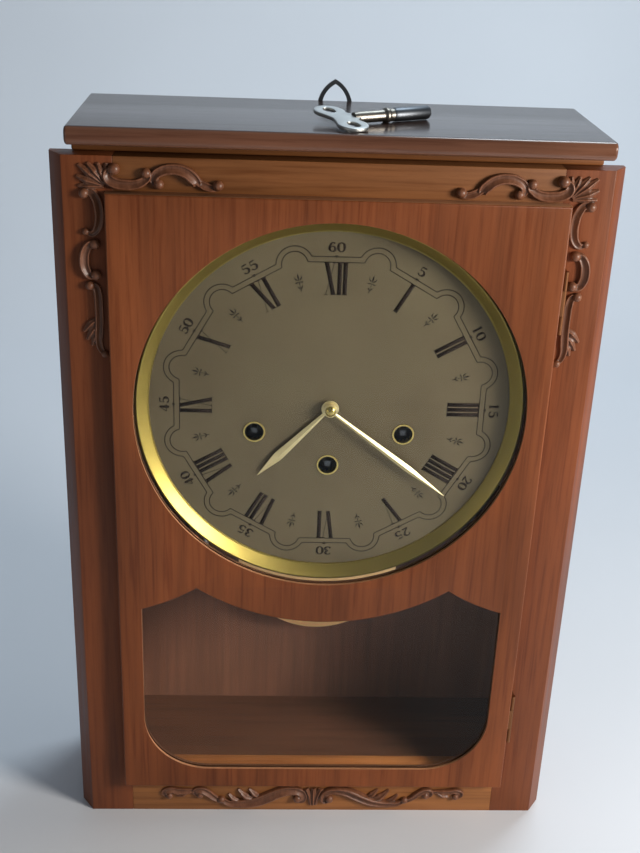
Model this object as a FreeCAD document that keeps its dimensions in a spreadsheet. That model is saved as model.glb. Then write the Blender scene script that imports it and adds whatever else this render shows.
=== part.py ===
import FreeCAD, Part
import Sketcher
import math
import os
from types import SimpleNamespace

from FreeCAD import Placement, Rotation, Vector

# Wall clock with a glazed overlay door, a three-barrel movement and a short pendulum.
# X runs to the right, Y from the front to the back and Z up. Millimetres.
# The origin is under the middle of the whole clock, on the surface that it stands on.

doc = FreeCAD.newDocument("wall_clock")
sheet = doc.addObject("Spreadsheet::Sheet", "dims")

# Driving dimensions
SIZES = {
    # case
    "case_width": 340.0,
    "case_height": 480.3,
    "stile_width": 38.0,
    "stile_depth": 16.0,
    "stile_chamfer_width": 8.5,
    "stile_chamfer_depth": 12.0,
    "side_inset": 13.0,
    "side_thickness": 12.0,
    "board_thickness": 12.0,
    "back_thickness": 5.0,
    "back_room": 7.5,
    "top_rail_height": 30.3,
    "bottom_rail_height": 38.0,
    "floor_drop": 4.0,
    "neck_height": 7.9,
    "neck_setback": 12.5,
    "cap_thickness": 10.9,
    "cap_round": 4.0,
    "cap_end_round": 1.8,
    "cap_overhang": 14.4,
    "housing_depth": 4.0,
    "seat_thickness": 12.0,
    "seat_lip": 1.0,
    # hanger at the back
    "hanger_width": 21.6,
    "hanger_bar": 2.9,
    "hanger_rise": 13.4,
    "hanger_thickness": 2.4,
    "hanger_tail": 14.0,
    "hanger_screw_pitch": 10.4,
    "screw_radius": 1.6,
    "screw_head_radius": 3.0,
    "screw_head_height": 2.0,
    "screw_bite": 8.0,
    # carvings
    "carving_thickness": 4.6,
    "carving_gap": 3.6,
    "carving_band": 13.0,
    "carving_across": 84.0,
    "carving_down": 118.0,
    "bottom_carving_width": 224.0,
    "bottom_carving_height": 19.0,
    "bottom_carving_low": 4.0,
    # door
    "door_overlay": 4.3,
    "door_overlay_top": 10.2,
    "door_overlay_bottom": 8.9,
    "door_thickness": 8.7,
    "door_gap": 0.2,
    "door_round": 1.2,
    "dial_margin": 13.0,
    "dial_margin_top": 13.5,
    "glass_lip": 4.0,
    "glass_recess": 2.0,
    "glass_thickness": 2.0,
    "glass_play": 0.3,
    "bead_thickness": 2.0,
    "window_margin": 15.1,
    "window_sill": 16.4,
    "window_bridge": 29.0,
    "window_shoulder_fall": 16.9,
    "window_peak_angle": 33.66,
    "window_corner": 45.0,
    "window_sag": 1.6,
    # hinges and catch
    "hinge_length": 40.0,
    "hinge_margin": 60.0,
    "hinge_inset": 3.0,
    "leaf_thickness": 1.2,
    "leaf_sink": 9.0,
    "knuckle_radius": 1.4,
    "knuckle_length": 16.0,
    "knuckle_gap": 0.3,
    "knuckle_play": 0.2,
    "pin_radius": 0.7,
    "running_play": 0.05,
    "catch_drop": 78.4,
    "catch_inset": 6.0,
    "catch_stud_radius": 2.0,
    "catch_stud_length": 11.0,
    "catch_play": 0.3,
    "catch_thickness": 1.0,
    # dial and hands
    "dial_setback": 6.0,
    "dial_thickness": 0.8,
    "dial_gap": 12.7,
    "dial_foot_radius": 2.5,
    "ring_overlap": 1.3,
    "ring_width": 10.0,
    "ring_overhang": 2.6,
    "ring_rise": 7.0,
    "ring_roll": 1.0,
    "ring_foot": 1.7,
    "ring_sheet": 1.0,
    "centre_hole_play": 1.0,
    "wind_across": 47.9,
    "wind_drop": 18.0,
    "wind_centre_drop": 40.7,
    "grommet_wall": 0.6,
    "grommet_rim": 1.1,
    "grommet_rise": 0.6,
    "hand_thickness": 0.8,
    "hand_gap": 2.5,
    "minute_reach": 97.5,
    "hour_reach": 66.0,
    "minute_boss": 4.4,
    "hour_boss": 5.6,
    "minute_width": 4.6,
    "hour_width": 6.2,
    "hand_root_width": 2.0,
    "hand_tip_width": 0.7,
    "minute_taper": 33.0,
    "hour_taper": 20.0,
    "minute_angle": 127.6,
    "hour_angle": 223.5,
    "nut_radius": 3.4,
    "nut_rise": 2.4,
    "nut_crown": 0.9,
    # movement frame
    "plate_thickness": 2.0,
    "plate_margin": 6.0,
    "plate_crown": 18.0,
    "pillar_radius": 4.0,
    "pillar_inset": 7.0,
    "train_air": 2.0,
    "centre_air": 2.6,
    "leaf_lap": 1.2,
    "rear_air": 3.3,
    # barrels and winding
    "barrel_radius": 20.5,
    "barrel_length": 21.0,
    "side_wheel_radius": 23.8,
    "wheel_thickness": 2.2,
    "arbor_radius": 2.6,
    "square_width": 3.6,
    "square_recess": 2.0,
    "ratchet_radius": 10.0,
    "ratchet_depth": 1.5,
    "ratchet_air": 0.4,
    "click_arm": 6.0,
    "click_clearance": 0.45,
    "click_width": 2.4,
    "click_tip": 0.9,
    "stud_radius": 1.2,
    "stud_end": 1.0,
    # going train, named by arbor spacing
    "third_spacing": 30.0,
    "escape_spacing": 24.0,
    "escape_height": 36.0,
    "escape_radius": 15.0,
    "escape_tooth": 2.6,
    "escape_level": 8.0,
    "third_level": 16.0,
    "thin_wheel": 1.5,
    "train_arbor_radius": 1.5,
    "anchor_room": 7.0,
    "pallet_clearance": 1.6,
    "pallet_width": 3.2,
    "anchor_brow": 3.4,
    "anchor_overhang": 1.0,
    # motion work
    "motion_spacing": 18.0,
    "motion_wheel": 1.6,
    "motion_play": 0.6,
    "motion_lap": 0.6,
    "motion_air": 1.4,
    "cannon_wall": 0.65,
    "hour_tube_wall": 1.1,
    # pendulum
    "rod_radius": 1.5,
    "eye_wall": 2.5,
    "eye_width": 5.0,
    "bob_drop": 208.0,
    "bob_radius": 58.0,
    "bob_thickness": 13.0,
    "bob_dome": 4.0,
    "bob_wall": 1.6,
    "bob_bar": 14.0,
    "bob_room": 3.5,
    "nut_pocket_height": 10.0,
    "nut_pocket_lift": 24.0,
    "rating_nut_height": 5.0,
    "rating_nut_play": 0.3,
    "cock_width": 8.0,
    "cock_foot_width": 20.0,
    "cock_foot_height": 9.0,
    "cock_foot_thickness": 3.0,
    "cock_arm_height": 5.0,
    "cock_rise": 6.0,
    "cock_post": 4.0,
    "cock_air": 1.0,
    "crutch_length": 42.0,
    "crutch_width": 3.0,
    "crutch_thickness": 1.4,
    "crutch_air": 0.6,
    "crutch_play": 0.35,
    "fork_height": 5.0,
    "prong_radius": 0.8,
    # gong and hammers
    "gong_room": 24.0,
    "gong_rod_radius": 1.5,
    "gong_rod_length": 150.0,
    "gong_block_width": 18.0,
    "gong_block_height": 26.0,
    "gong_block_lift": 2.0,
    "hammer_inset": 5.5,
    "hammer_pitch": 12.0,
    "hammer_setback": 6.0,
    "hammer_hub": 4.0,
    "hammer_width": 8.0,
    "hammer_drop": 28.0,
    "hammer_head_radius": 4.0,
    "hammer_gap": 1.0,
    "hammer_below": 25.0,
    # winding key on the cap
    "key_span": 45.0,
    "key_wing": 13.5,
    "key_hole": 5.4,
    "key_web": 15.0,
    "key_plate": 2.4,
    "key_neck_radius": 3.6,
    "key_neck_length": 23.0,
    "key_socket_radius": 4.1,
    "key_passage": 1.9,
    "key_socket_length": 26.0,
    "key_bore_depth": 20.0,
    "key_play": 0.1,
    "key_angle": 29.4,
    "key_offset": 1.0,
    "key_back": 11.5,
}

# Counts, angles, and the proportions of wheels and of the hanger's arch
BARREL_TEETH = 72
CENTRE_LEAVES = 12
CENTRE_TEETH = 64
THIRD_LEAVES = 8
THIRD_TEETH = 56
ESCAPE_LEAVES = 8
ESCAPE_TEETH = 30
SIDE_BARREL_TEETH = 54
CANNON_LEAVES = 12
MINUTE_TEETH = 36
MINUTE_LEAVES = 10
HOUR_TEETH = 40
RATCHET_TEETH = 24
CROSSINGS = 5
CROSSING_SPREAD = 0.62
CROSSING_SIZE = 0.2
HANGER_WAIST = 0.72
ESCAPE_FRONT = -0.06
ESCAPE_BACK = 0.48
MOTION_ANGLE = 45.0
PALLET_ANGLE = 50.0
CLICK_ANGLES = (60.0, 200.0, 60.0)
BARREL_NAMES = ("strike", "time", "chime")

# How near a direction or a place has to be to count as the same
UPRIGHT_COSINE = 0.999
SAME_PLACE = 0.001

for row, (alias, value) in enumerate(SIZES.items(), start=1):
    sheet.set(f"A{row}", alias)
    sheet.set(f"B{row}", str(value))
    sheet.setAlias(f"B{row}", alias)
doc.recompute()


class Size:
    """A length that carries its number together with the sheet formula that it comes from."""

    def __init__(self, text, number):
        self.text = text
        self.number = number

    def __float__(self):
        return self.number

    def __add__(self, other):
        other = sized(other)
        return Size(f"({self.text} + {other.text})", self.number + other.number)

    def __sub__(self, other):
        other = sized(other)
        return Size(f"({self.text} - {other.text})", self.number - other.number)

    def __mul__(self, other):
        other = sized(other)
        return Size(f"({self.text} * {other.text})", self.number * other.number)

    def __truediv__(self, other):
        other = sized(other)
        return Size(f"({self.text} / {other.text})", self.number / other.number)

    def __radd__(self, other):
        return sized(other) + self

    def __rsub__(self, other):
        return sized(other) - self

    def __rmul__(self, other):
        return sized(other) * self

    def __neg__(self):
        return sized(0.0) - self


def sized(value):
    return value if isinstance(value, Size) else Size(f"({value})", float(value))


def root(value):
    return Size(f"sqrt({value.text})", math.sqrt(value.number))


d = SimpleNamespace(**{alias: Size(f"dims.{alias}", float(sheet.get(alias))) for alias in SIZES})

# Depths, each counted back from the front face of the case frame
inside_depth = d.dial_setback + d.dial_thickness + d.dial_gap + d.plate_thickness
side_wheel_level = d.train_air
side_drum_level = side_wheel_level + d.wheel_thickness
time_wheel_level = side_drum_level + d.barrel_length + d.train_air
centre_wheel_level = time_wheel_level + d.wheel_thickness + d.centre_air
plate_space = centre_wheel_level + d.thin_wheel + d.leaf_lap + d.rear_air
movement_depth = inside_depth + plate_space + d.plate_thickness
hammer_depth = movement_depth + d.hammer_setback + d.hammer_pitch + d.hammer_width / 2 + d.stud_end
case_depth = hammer_depth + d.back_room + d.back_thickness

# Planes from front to back
y_front = -(d.cap_overhang + case_depth + d.hanger_thickness) / 2
y_face = y_front + d.cap_overhang
y_carcass = y_face + d.stile_depth
y_back = y_face + case_depth
y_board = y_back - d.back_thickness
y_hanger = y_back + d.hanger_thickness
y_door_back = y_face - d.door_gap
y_door = y_door_back - d.door_thickness
y_glass = y_door + d.glass_recess
y_bead = y_glass + d.glass_thickness
y_dial = y_face + d.dial_setback
y_dial_back = y_dial + d.dial_thickness
y_plate = y_dial_back + d.dial_gap
y_inside = y_plate + d.plate_thickness
y_rear = y_inside + plate_space
y_movement = y_rear + d.plate_thickness
y_seat_back = y_movement + d.seat_lip
y_pendulum = y_movement + d.bob_room + d.bob_thickness / 2
y_hour_hand = y_dial - d.hand_gap - d.hand_thickness
y_minute_hand = y_hour_hand - d.hand_gap - d.hand_thickness

# Half widths
x_out = d.case_width / 2
x_carcass = x_out - d.side_inset
x_side = x_carcass - d.side_thickness
x_stile = x_out - d.stile_width
x_door = x_stile + d.door_overlay
x_plate = d.wind_across + d.side_wheel_radius + d.plate_margin
x_pillar = x_plate - d.pillar_inset
x_hammer = -(x_plate - d.hammer_inset)
x_gong = -(d.bob_radius + d.gong_room)

# Heights
z_neck = d.case_height + d.neck_height
z_cap = z_neck + d.cap_thickness
z_floor = d.bottom_rail_height - d.floor_drop
z_door = d.bottom_rail_height - d.door_overlay_bottom
z_door_top = d.case_height - d.top_rail_height + d.door_overlay_top
opening_radius = x_door - d.dial_margin
z_dial = z_door_top - d.dial_margin_top - opening_radius
great_wheel_radius = d.wind_centre_drop * (BARREL_TEETH + 2) / (BARREL_TEETH + CENTRE_LEAVES)
z_side_barrel = z_dial - d.wind_drop
z_time_barrel = z_dial - d.wind_centre_drop
z_seat = z_time_barrel - great_wheel_radius - d.plate_margin
z_escape = z_dial + d.escape_height
anchor_spacing = d.escape_radius + d.anchor_room
z_anchor = z_escape + anchor_spacing
z_plate_top = z_anchor + d.plate_crown
z_pillar_low = z_seat + d.pillar_inset
z_pillar_high = z_plate_top - d.pillar_inset
z_bob = z_anchor - d.bob_drop
z_hammer = z_dial - d.hammer_below
z_gong = z_hammer + d.hammer_hub + d.gong_block_lift
z_catch = z_dial - d.catch_drop
hinge_heights = (z_door + d.hinge_margin, z_door_top - d.hinge_margin)

# The third arbor stands where its distances to the centre and escape arbors meet
third_up = (d.third_spacing * d.third_spacing - d.escape_spacing * d.escape_spacing
            + d.escape_height * d.escape_height) / (2 * d.escape_height)
third_across = root(d.third_spacing * d.third_spacing - third_up * third_up)
motion_x = d.motion_spacing * math.cos(math.radians(MOTION_ANGLE))
motion_z = d.motion_spacing * math.sin(math.radians(MOTION_ANGLE))

# Arbors as X and Z
wind_spots = ((-d.wind_across, z_side_barrel), (0, z_time_barrel), (d.wind_across, z_side_barrel))
train_spots = {
    "centre": (0, z_dial),
    "third": (third_across, z_dial + third_up),
    "escape": (0, z_escape),
    "anchor": (0, z_anchor),
}

# Pieces that others fit
cannon_bore = d.train_arbor_radius + d.running_play
cannon_radius = cannon_bore + d.cannon_wall
hour_bore = cannon_radius + d.running_play
hour_radius = hour_bore + d.hour_tube_wall
grommet_bore = d.key_socket_radius + d.key_passage
grommet_seat = grommet_bore + d.grommet_wall
x_hinge = x_door + d.knuckle_radius + d.knuckle_gap
y_hinge = y_door + d.hinge_inset
x_catch = -(x_stile - d.catch_inset)
y_hammers = (y_movement + d.hammer_setback, y_movement + d.hammer_setback + d.hammer_pitch)
click_reach = d.ratchet_radius + d.click_arm

nodes = []


def node(item, label):
    """Keep an object as one of the clock's own pieces."""
    item.Label = label
    nodes.append(item)
    return item


# Document objects with their sizes bound to the sheet
def bind(item, formulas):
    for prop, size in formulas.items():
        item.setExpression(prop, sized(size).text)
    return item


def place(item, x, y, z):
    return bind(item, {"Placement.Base.x": x, "Placement.Base.y": y, "Placement.Base.z": z})


def box(x, y, z):
    """A block between two X, two Y and two Z values."""
    item = doc.addObject("Part::Box", "block")
    bind(item, {"Length": x[1] - x[0], "Width": y[1] - y[0], "Height": z[1] - z[0]})
    return place(item, x[0], y[0], z[0])


TURN = {"x": Rotation(Vector(0, 1, 0), 90), "y": Rotation(Vector(1, 0, 0), -90), "z": Rotation()}


def rod(axis, radius, span, first, second):
    """A round bar along an axis. first and second are its place on the two other axes, in X, Y, Z order."""
    item = doc.addObject("Part::Cylinder", "bar")
    item.Placement = Placement(Vector(), TURN[axis])
    bind(item, {"Radius": radius, "Height": span[1] - span[0]})
    spots = {"x": (span[0], first, second), "y": (first, span[0], second), "z": (first, second, span[0])}
    return place(item, *spots[axis])


def bore(axis, radius, span, first, second):
    """A bar for cutting that runs past both ends of a span."""
    spare = d.stud_end
    return rod(axis, radius, (span[0] - spare, span[1] + spare), first, second)


def dome(radius, rise, y, z):
    """A lens on the Y axis that bulges to the front, from the front of its crown at y."""
    swell = (radius * radius + rise * rise) / (2 * rise)
    item = doc.addObject("Part::Sphere", "ball")
    bind(item, {"Radius": swell})
    return place(item, 0, y + swell, z)


def fuse(*pieces):
    item = doc.addObject("Part::MultiFuse", "joined")
    item.Shapes = list(pieces)
    item.Refine = True
    return item


def cut(base, *tools):
    item = doc.addObject("Part::Cut", "trimmed")
    item.Base = base
    item.Tool = tools[0] if len(tools) == 1 else fuse(*tools)
    return item


def common(first, second):
    item = doc.addObject("Part::Common", "shared")
    item.Base = first
    item.Tool = second
    return item


def group(*pieces):
    item = doc.addObject("Part::Compound", "set")
    item.Links = list(pieces)
    return item


def solid(shape, x=0, y=0, z=0):
    """A piece whose outline is worked out here. Its place stays bound to the sheet."""
    item = doc.addObject("Part::Feature", "shaped")
    item.Shape = shape
    return place(item, x, y, z)


# PartDesign bodies
def new_sketch(name):
    body = doc.addObject("PartDesign::Body", name)
    sketch = body.newObject("Sketcher::SketchObject", name + "_outline")
    plane = next(f for f in body.Origin.OriginFeatures if f.Role == "XY_Plane")
    sketch.AttachmentSupport = [(plane, "")]
    sketch.MapMode = "FlatFace"
    return body, sketch


def hold(sketch, kind, *args, size):
    """A sketch dimension that follows the sheet."""
    number = sketch.addConstraint(Sketcher.Constraint(kind, *args, float(size)))
    sketch.setExpression(f"Constraints[{number}]", size.text)


def pad_outline(name, corners, z):
    """A pad on a straight-sided outline whose corners are dimensioned from the sketch's origin."""
    body, sketch = new_sketch(name)
    points = [Vector(float(u), float(v), 0) for u, v in corners]
    for start, end in zip(points, points[1:] + points[:1]):
        sketch.addGeometry(Part.LineSegment(start, end), False)
    for index, (u, v) in enumerate(corners):
        following = (index + 1) % len(corners)
        sketch.addConstraint(Sketcher.Constraint("Coincident", index, 2, following, 1))
        hold(sketch, "DistanceX", -1, 1, index, 1, size=u)
        hold(sketch, "DistanceY", -1, 1, index, 1, size=v)
    pad = body.newObject("PartDesign::Pad", name + "_pad")
    pad.Profile = sketch
    bind(pad, {"Length": z[1] - z[0]})
    place(body, 0, 0, z[0])
    doc.recompute()
    return body, pad


def pad_block(name, x, y, z):
    """A pad on a rectangle."""
    return pad_outline(name, [(x[0], y[0]), (x[1], y[0]), (x[1], y[1]), (x[0], y[1])], z)


def rounded(body, base, radius, test):
    """Fillet the edges of a feature that pass a test."""
    chosen = [f"Edge{index}" for index, edge in enumerate(base.Shape.Edges, start=1) if test(edge)]
    fillet = body.newObject("PartDesign::Fillet", body.Name + "_round")
    fillet.Base = (base, chosen)
    bind(fillet, {"Radius": radius})
    body.Tip = fillet
    return body


def upright(edge):
    return abs(edge.tangentAt(edge.FirstParameter).z) > UPRIGHT_COSINE


def at(value, size):
    return abs(value - float(size)) < SAME_PLACE


# Flat shapes in the XZ plane, and toothed wheels about the Y axis
def slab(points, y):
    """A flat piece between two Y values with the outline of the points."""
    wire = Part.makePolygon(points + points[:1])
    wire.translate(Vector(0, float(y[0]), 0))
    return Part.Face(wire).extrude(Vector(0, float(y[1]) - float(y[0]), 0))


def disc(radius, y, x=0.0, z=0.0):
    start = Vector(x, float(y[0]), z)
    return Part.makeCylinder(float(radius), float(y[1]) - float(y[0]), start, Vector(0, 1, 0))


def polar(radius, angle):
    return Vector(radius * math.cos(angle), 0, radius * math.sin(angle))


def toothed(teeth, corners, phase, y):
    """A wheel whose teeth each have the given corners: a radius and a distance along it."""
    points = []
    for index in range(teeth):
        middle = phase + 2 * math.pi * index / teeth
        points += [polar(radius, middle + along / radius) for radius, along in corners]
    return slab(points, y)


# Tooth forms, in modules
WHEEL_TOOTH = {"rise": 1.0, "fall": 1.35, "foot": 0.80, "crest": 0.25}
PINION_LEAF = {"rise": 0.75, "fall": 1.45, "foot": 0.45, "crest": 0.28}


def gear(teeth, module, y, phase, form):
    pitch = teeth * module / 2
    foot, crest = form["foot"] * module, form["crest"] * module
    low, high = pitch - form["fall"] * module, pitch + form["rise"] * module
    return toothed(teeth, [(low, -foot), (high, -crest), (high, crest), (low, foot)], phase, y)


def crossed_out(wheel, y, outer):
    """Round openings that lighten a wheel between its rim and its hub."""
    for index in range(CROSSINGS):
        spot = polar(outer * CROSSING_SPREAD, 2 * math.pi * (index + 0.5) / CROSSINGS)
        wheel = wheel.cut(disc(outer * CROSSING_SIZE, y, spot.x, spot.z))
    return wheel


def module_of(spacing, wheel_teeth, pinion_leaves):
    return 2 * float(spacing) / (wheel_teeth + pinion_leaves)


def heading(start, end):
    return math.atan2(float(end[1]) - float(start[1]), float(end[0]) - float(start[0]))


def facing_gap(angle, leaves):
    """The phase that turns a gap between two leaves towards an angle."""
    return angle + math.pi / leaves


def thick(level, thickness):
    """Two Y values, for a wheel at a level behind the front plate."""
    return (y_inside + level, y_inside + level + thickness)


# Carcass, with the movement's seat board housed in the side panels
def make_carcass():
    depth = (y_carcass, y_board)
    height = (sized(0), d.case_height)
    seat_depth = (y_carcass, y_seat_back)
    seat_height = (z_seat - d.seat_thickness, z_seat)
    x_groove = x_side + d.housing_depth
    left = box((-x_carcass, -x_side), depth, height)
    node(cut(left, box((-x_groove, -x_side), seat_depth, seat_height)), "left_side_panel")
    right = box((x_side, x_carcass), depth, height)
    node(cut(right, box((x_side, x_groove), seat_depth, seat_height)), "right_side_panel")
    top = box((-x_side, x_side), depth, (d.case_height - d.board_thickness, d.case_height))
    node(cut(top, *hanger_screws()), "case_top_board")
    node(box((-x_side, x_side), depth, (z_floor - d.board_thickness, z_floor)), "case_bottom_board")
    back = box((-x_carcass, x_carcass), (y_board, y_back), height)
    node(cut(back, *hanger_screws()), "back_board")
    shelf = box((-x_groove, x_groove), seat_depth, seat_height)
    node(cut(shelf, *seat_screws()), "seat_board")


# Screws: two hold the hanger to the case, two hold the movement's lower pillars to the seat board
def hanger_screws():
    reach = (y_board - d.screw_bite, y_hanger)
    height = d.case_height - d.board_thickness / 2
    half = d.hanger_screw_pitch / 2
    return [rod("y", d.screw_radius, reach, sign * half, height) for sign in (-1, 1)]


def seat_screws():
    reach = (z_seat - d.seat_thickness, z_pillar_low - d.pillar_radius)
    middle = y_inside + plate_space / 2
    return [rod("z", d.screw_radius, reach, sign * x_pillar, middle) for sign in (-1, 1)]


def make_screws():
    under = z_seat - d.seat_thickness
    middle = y_inside + plate_space / 2
    head = (under - d.screw_head_height, under)
    heads = [rod("z", d.screw_head_radius, head, sign * x_pillar, middle) for sign in (-1, 1)]
    seated = [fuse(shank, top) for shank, top in zip(seat_screws(), heads)]
    node(group(*hanger_screws(), *seated), "fixing_screws")


# Face frame: stiles chamfered on their outer front edge, rails between them
def make_face_frame():
    depth, middle = (y_face, y_carcass), (-x_stile, x_stile)
    height = (sized(0), d.case_height)
    x_arris, y_arris = x_out - d.stile_chamfer_width, y_face + d.stile_chamfer_depth
    section = [(x_stile, y_face), (x_arris, y_face), (x_out, y_arris), (x_out, y_carcass), (x_stile, y_carcass)]
    left, _ = pad_outline("left_stile_blank", [(-x, y) for x, y in section], height)
    right, _ = pad_outline("right_stile_blank", section, height)
    node(left, "left_stile")
    node(cut(right, *leaf_slots()), "right_stile")
    node(box(middle, depth, (d.case_height - d.top_rail_height, d.case_height)), "top_rail")
    node(box(middle, depth, (sized(0), d.bottom_rail_height)), "bottom_rail")


# Neck and cap, both as wide as the carcass; the cap's front is a bullnose and its ends are eased
def make_cap():
    across = (-x_carcass, x_carcass)
    node(box(across, (y_face + d.neck_setback, y_back), (d.case_height, z_neck)), "neck_moulding")
    body, pad = pad_block("cap_board", across, (y_front, y_back), (z_neck, z_cap))

    def nose(edge):
        return not upright(edge) and at(edge.CenterOfMass.y, y_front)

    def end(edge):
        return at(abs(edge.CenterOfMass.x), x_carcass) and not at(edge.CenterOfMass.y, y_back)

    rounded(body, pad, d.cap_round, nose)
    doc.recompute()
    node(rounded(body, body.Tip, d.cap_end_round, end), "cap_board")


# Hanger: a flat steel plate behind the back board that rises in a pointed arch
def make_hanger():
    half, bar = float(d.hanger_width / 2), float(d.hanger_bar)
    foot, floor = float(d.case_height - d.hanger_tail), float(d.case_height)
    spring, peak = float(z_cap), float(z_cap + d.hanger_rise)

    def arched(width, low, top):
        """A strip from low up to the spring line, closed by two arcs that meet in a point."""
        side = Vector(width, 0, spring)
        waist = Vector(width * HANGER_WAIST, 0, (spring + top) / 2)
        point = Vector(0, 0, top)
        flip = [Vector(-p.x, 0, p.z) for p in (point, waist, side)]
        left, right = Vector(-width, 0, low), Vector(width, 0, low)
        edges = [Part.makeLine(left, right),
                 Part.makeLine(right, side),
                 Part.Arc(side, waist, point).toShape(),
                 Part.Arc(*flip).toShape(),
                 Part.makeLine(flip[2], left)]
        return Part.Face(Part.Wire(edges)).extrude(Vector(0, float(d.hanger_thickness), 0))

    loop = arched(half, foot, peak).cut(arched(half - bar, floor, peak - bar))
    node(cut(solid(loop, y=y_back), *hanger_screws()), "hanger_loop")


# Applied carvings, as shallow pads with the reach of the scrolls
def make_carvings():
    depth = (y_face - d.carving_thickness, y_face)
    inner, low = x_door + d.carving_gap, z_door_top + d.carving_gap
    outer, high = inner + d.carving_band, low + d.carving_band
    for label, sign in (("top_left_carving", -1), ("top_right_carving", 1)):
        across = [sign * (outer - d.carving_across), sign * outer]
        down = [sign * inner, sign * outer]
        across.sort(key=float)
        down.sort(key=float)
        legs = box(across, depth, (low, high)), box(down, depth, (high - d.carving_down, high))
        node(fuse(*legs), label)
    half = d.bottom_carving_width / 2
    low = d.bottom_carving_low
    node(box((-half, half), depth, (low, low + d.bottom_carving_height)), "bottom_carving")


# Door
def window_block(grow, y):
    """Pendulum window, grown outwards by a margin, between two Y values."""
    half, corner = float(x_door - d.window_margin), float(d.window_corner)
    sill, middle = float(z_door + d.window_sill), float(z_dial)
    arc = float(opening_radius + d.window_bridge)
    peak = Vector(0, 0, middle) + polar(arc, math.radians(float(d.window_peak_angle) - 90))
    side = Vector(half, 0, peak.z - float(d.window_shoulder_fall))
    slope = side - peak
    sag = Vector(slope.z, 0, -slope.x).normalize() * float(d.window_sag)
    turn = corner * (1 - math.sqrt(0.5))
    wall, floor = Vector(half, 0, sill + corner), Vector(half - corner, 0, sill)
    bend = Vector(half - turn, 0, sill + turn)
    hollow = (peak + side) * 0.5 + sag

    def flip(point):
        return Vector(-point.x, 0, point.z)

    edges = [Part.Arc(flip(peak), Vector(0, 0, middle - arc), peak).toShape(),
             Part.Arc(peak, hollow, side).toShape(),
             Part.makeLine(side, wall),
             Part.Arc(wall, bend, floor).toShape(),
             Part.makeLine(floor, flip(floor)),
             Part.Arc(flip(floor), flip(bend), flip(wall)).toShape(),
             Part.makeLine(flip(wall), flip(side)),
             Part.Arc(flip(side), flip(hollow), flip(peak)).toShape()]
    wire = Part.Wire(edges)
    if grow:
        wire = wire.makeOffset2D(float(grow), 2)
    return solid(Part.Face(wire).extrude(Vector(0, float(y[1]) - float(y[0]), 0)), y=y[0])


def make_door():
    body, pad = pad_block("door_blank", (-x_door, x_door), (y_door, y_door_back), (z_door, z_door_top))
    rounded(body, pad, d.door_round, lambda edge: at(edge.CenterOfMass.y, y_door))
    through = (y_door - d.stud_end, y_door_back + d.stud_end)
    behind = (y_glass, y_door_back + d.stud_end)
    seat_radius = opening_radius + d.glass_lip
    peg_hole = (y_door_back - d.catch_stud_radius, y_door_back)
    tools = [rod("y", opening_radius, through, 0, z_dial),
             rod("y", seat_radius, behind, 0, z_dial),
             window_block(0, through),
             window_block(d.glass_lip, behind),
             rod("y", d.catch_stud_radius, peg_hole, x_catch, z_catch)]
    for height in hinge_heights:
        tools.append(box((x_door - d.leaf_thickness, x_door), door_leaf_depth(), leaf_height(height)))
    node(cut(body, *tools), "door_panel")
    pane = (y_glass, y_bead)
    node(rod("y", seat_radius - d.glass_play, pane, 0, z_dial), "dial_glass")
    node(window_block(d.glass_lip - d.glass_play, pane), "pendulum_glass")
    strip = (y_bead, y_bead + d.bead_thickness)
    ring = cut(rod("y", seat_radius, strip, 0, z_dial), bore("y", opening_radius, strip, 0, z_dial))
    frame = cut(window_block(d.glass_lip, strip), window_block(0, (y_glass, y_door_back)))
    node(group(ring, frame), "glass_beads")
    peg = (peg_hole[0], y_door_back + d.catch_stud_length)
    node(rod("y", d.catch_stud_radius, peg, x_catch, z_catch), "door_catch_stud")


# Hinges: one leaf let into the door's edge, one driven into a slot in the stile, a fixed pin through both
def door_leaf_depth():
    return (y_hinge - d.knuckle_radius, y_door_back - d.door_round)


def leaf_height(height):
    return (height - d.hinge_length / 2, height + d.hinge_length / 2)


def leaf_width():
    return (x_hinge - d.leaf_thickness / 2, x_hinge + d.leaf_thickness / 2)


def leaf_slots():
    sink = (y_face, y_face + d.leaf_sink)
    return [box(leaf_width(), sink, leaf_height(height)) for height in hinge_heights]


def make_hinges():
    case_leaves, door_leaves, pins = [], [], []
    for height in hinge_heights:
        low, high = leaf_height(height)
        inner = (height - d.knuckle_length / 2, height + d.knuckle_length / 2)
        room_z = (inner[0] - d.knuckle_play, inner[1] + d.knuckle_play)
        room_y = (y_hinge - d.knuckle_radius, y_hinge + d.knuckle_radius + d.knuckle_play)
        plate = box(leaf_width(), (y_hinge, y_face + d.leaf_sink), (low, high))
        plate = cut(plate, box(leaf_width(), room_y, room_z))
        spans = ((low, room_z[0]), (room_z[1], high))
        ends = [rod("z", d.knuckle_radius, span, x_hinge, y_hinge) for span in spans]
        case_leaves.append(cut(fuse(plate, *ends), bore("z", d.pin_radius, (low, high), x_hinge, y_hinge)))
        leaf = box((x_door - d.leaf_thickness, x_door), door_leaf_depth(), (low, high))
        link = box((x_door - d.leaf_thickness, x_hinge), (y_hinge - d.knuckle_radius, y_hinge), inner)
        knuckle = rod("z", d.knuckle_radius, inner, x_hinge, y_hinge)
        pin_room = bore("z", d.pin_radius + d.running_play, (low, high), x_hinge, y_hinge)
        door_leaves.append(cut(fuse(leaf, link, knuckle), pin_room))
        pins.append(rod("z", d.pin_radius, (low, high), x_hinge, y_hinge))
    node(group(*case_leaves), "case_hinge_leaves")
    node(group(*door_leaves), "door_hinge_leaves")
    node(group(*pins), "hinge_pins")


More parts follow.
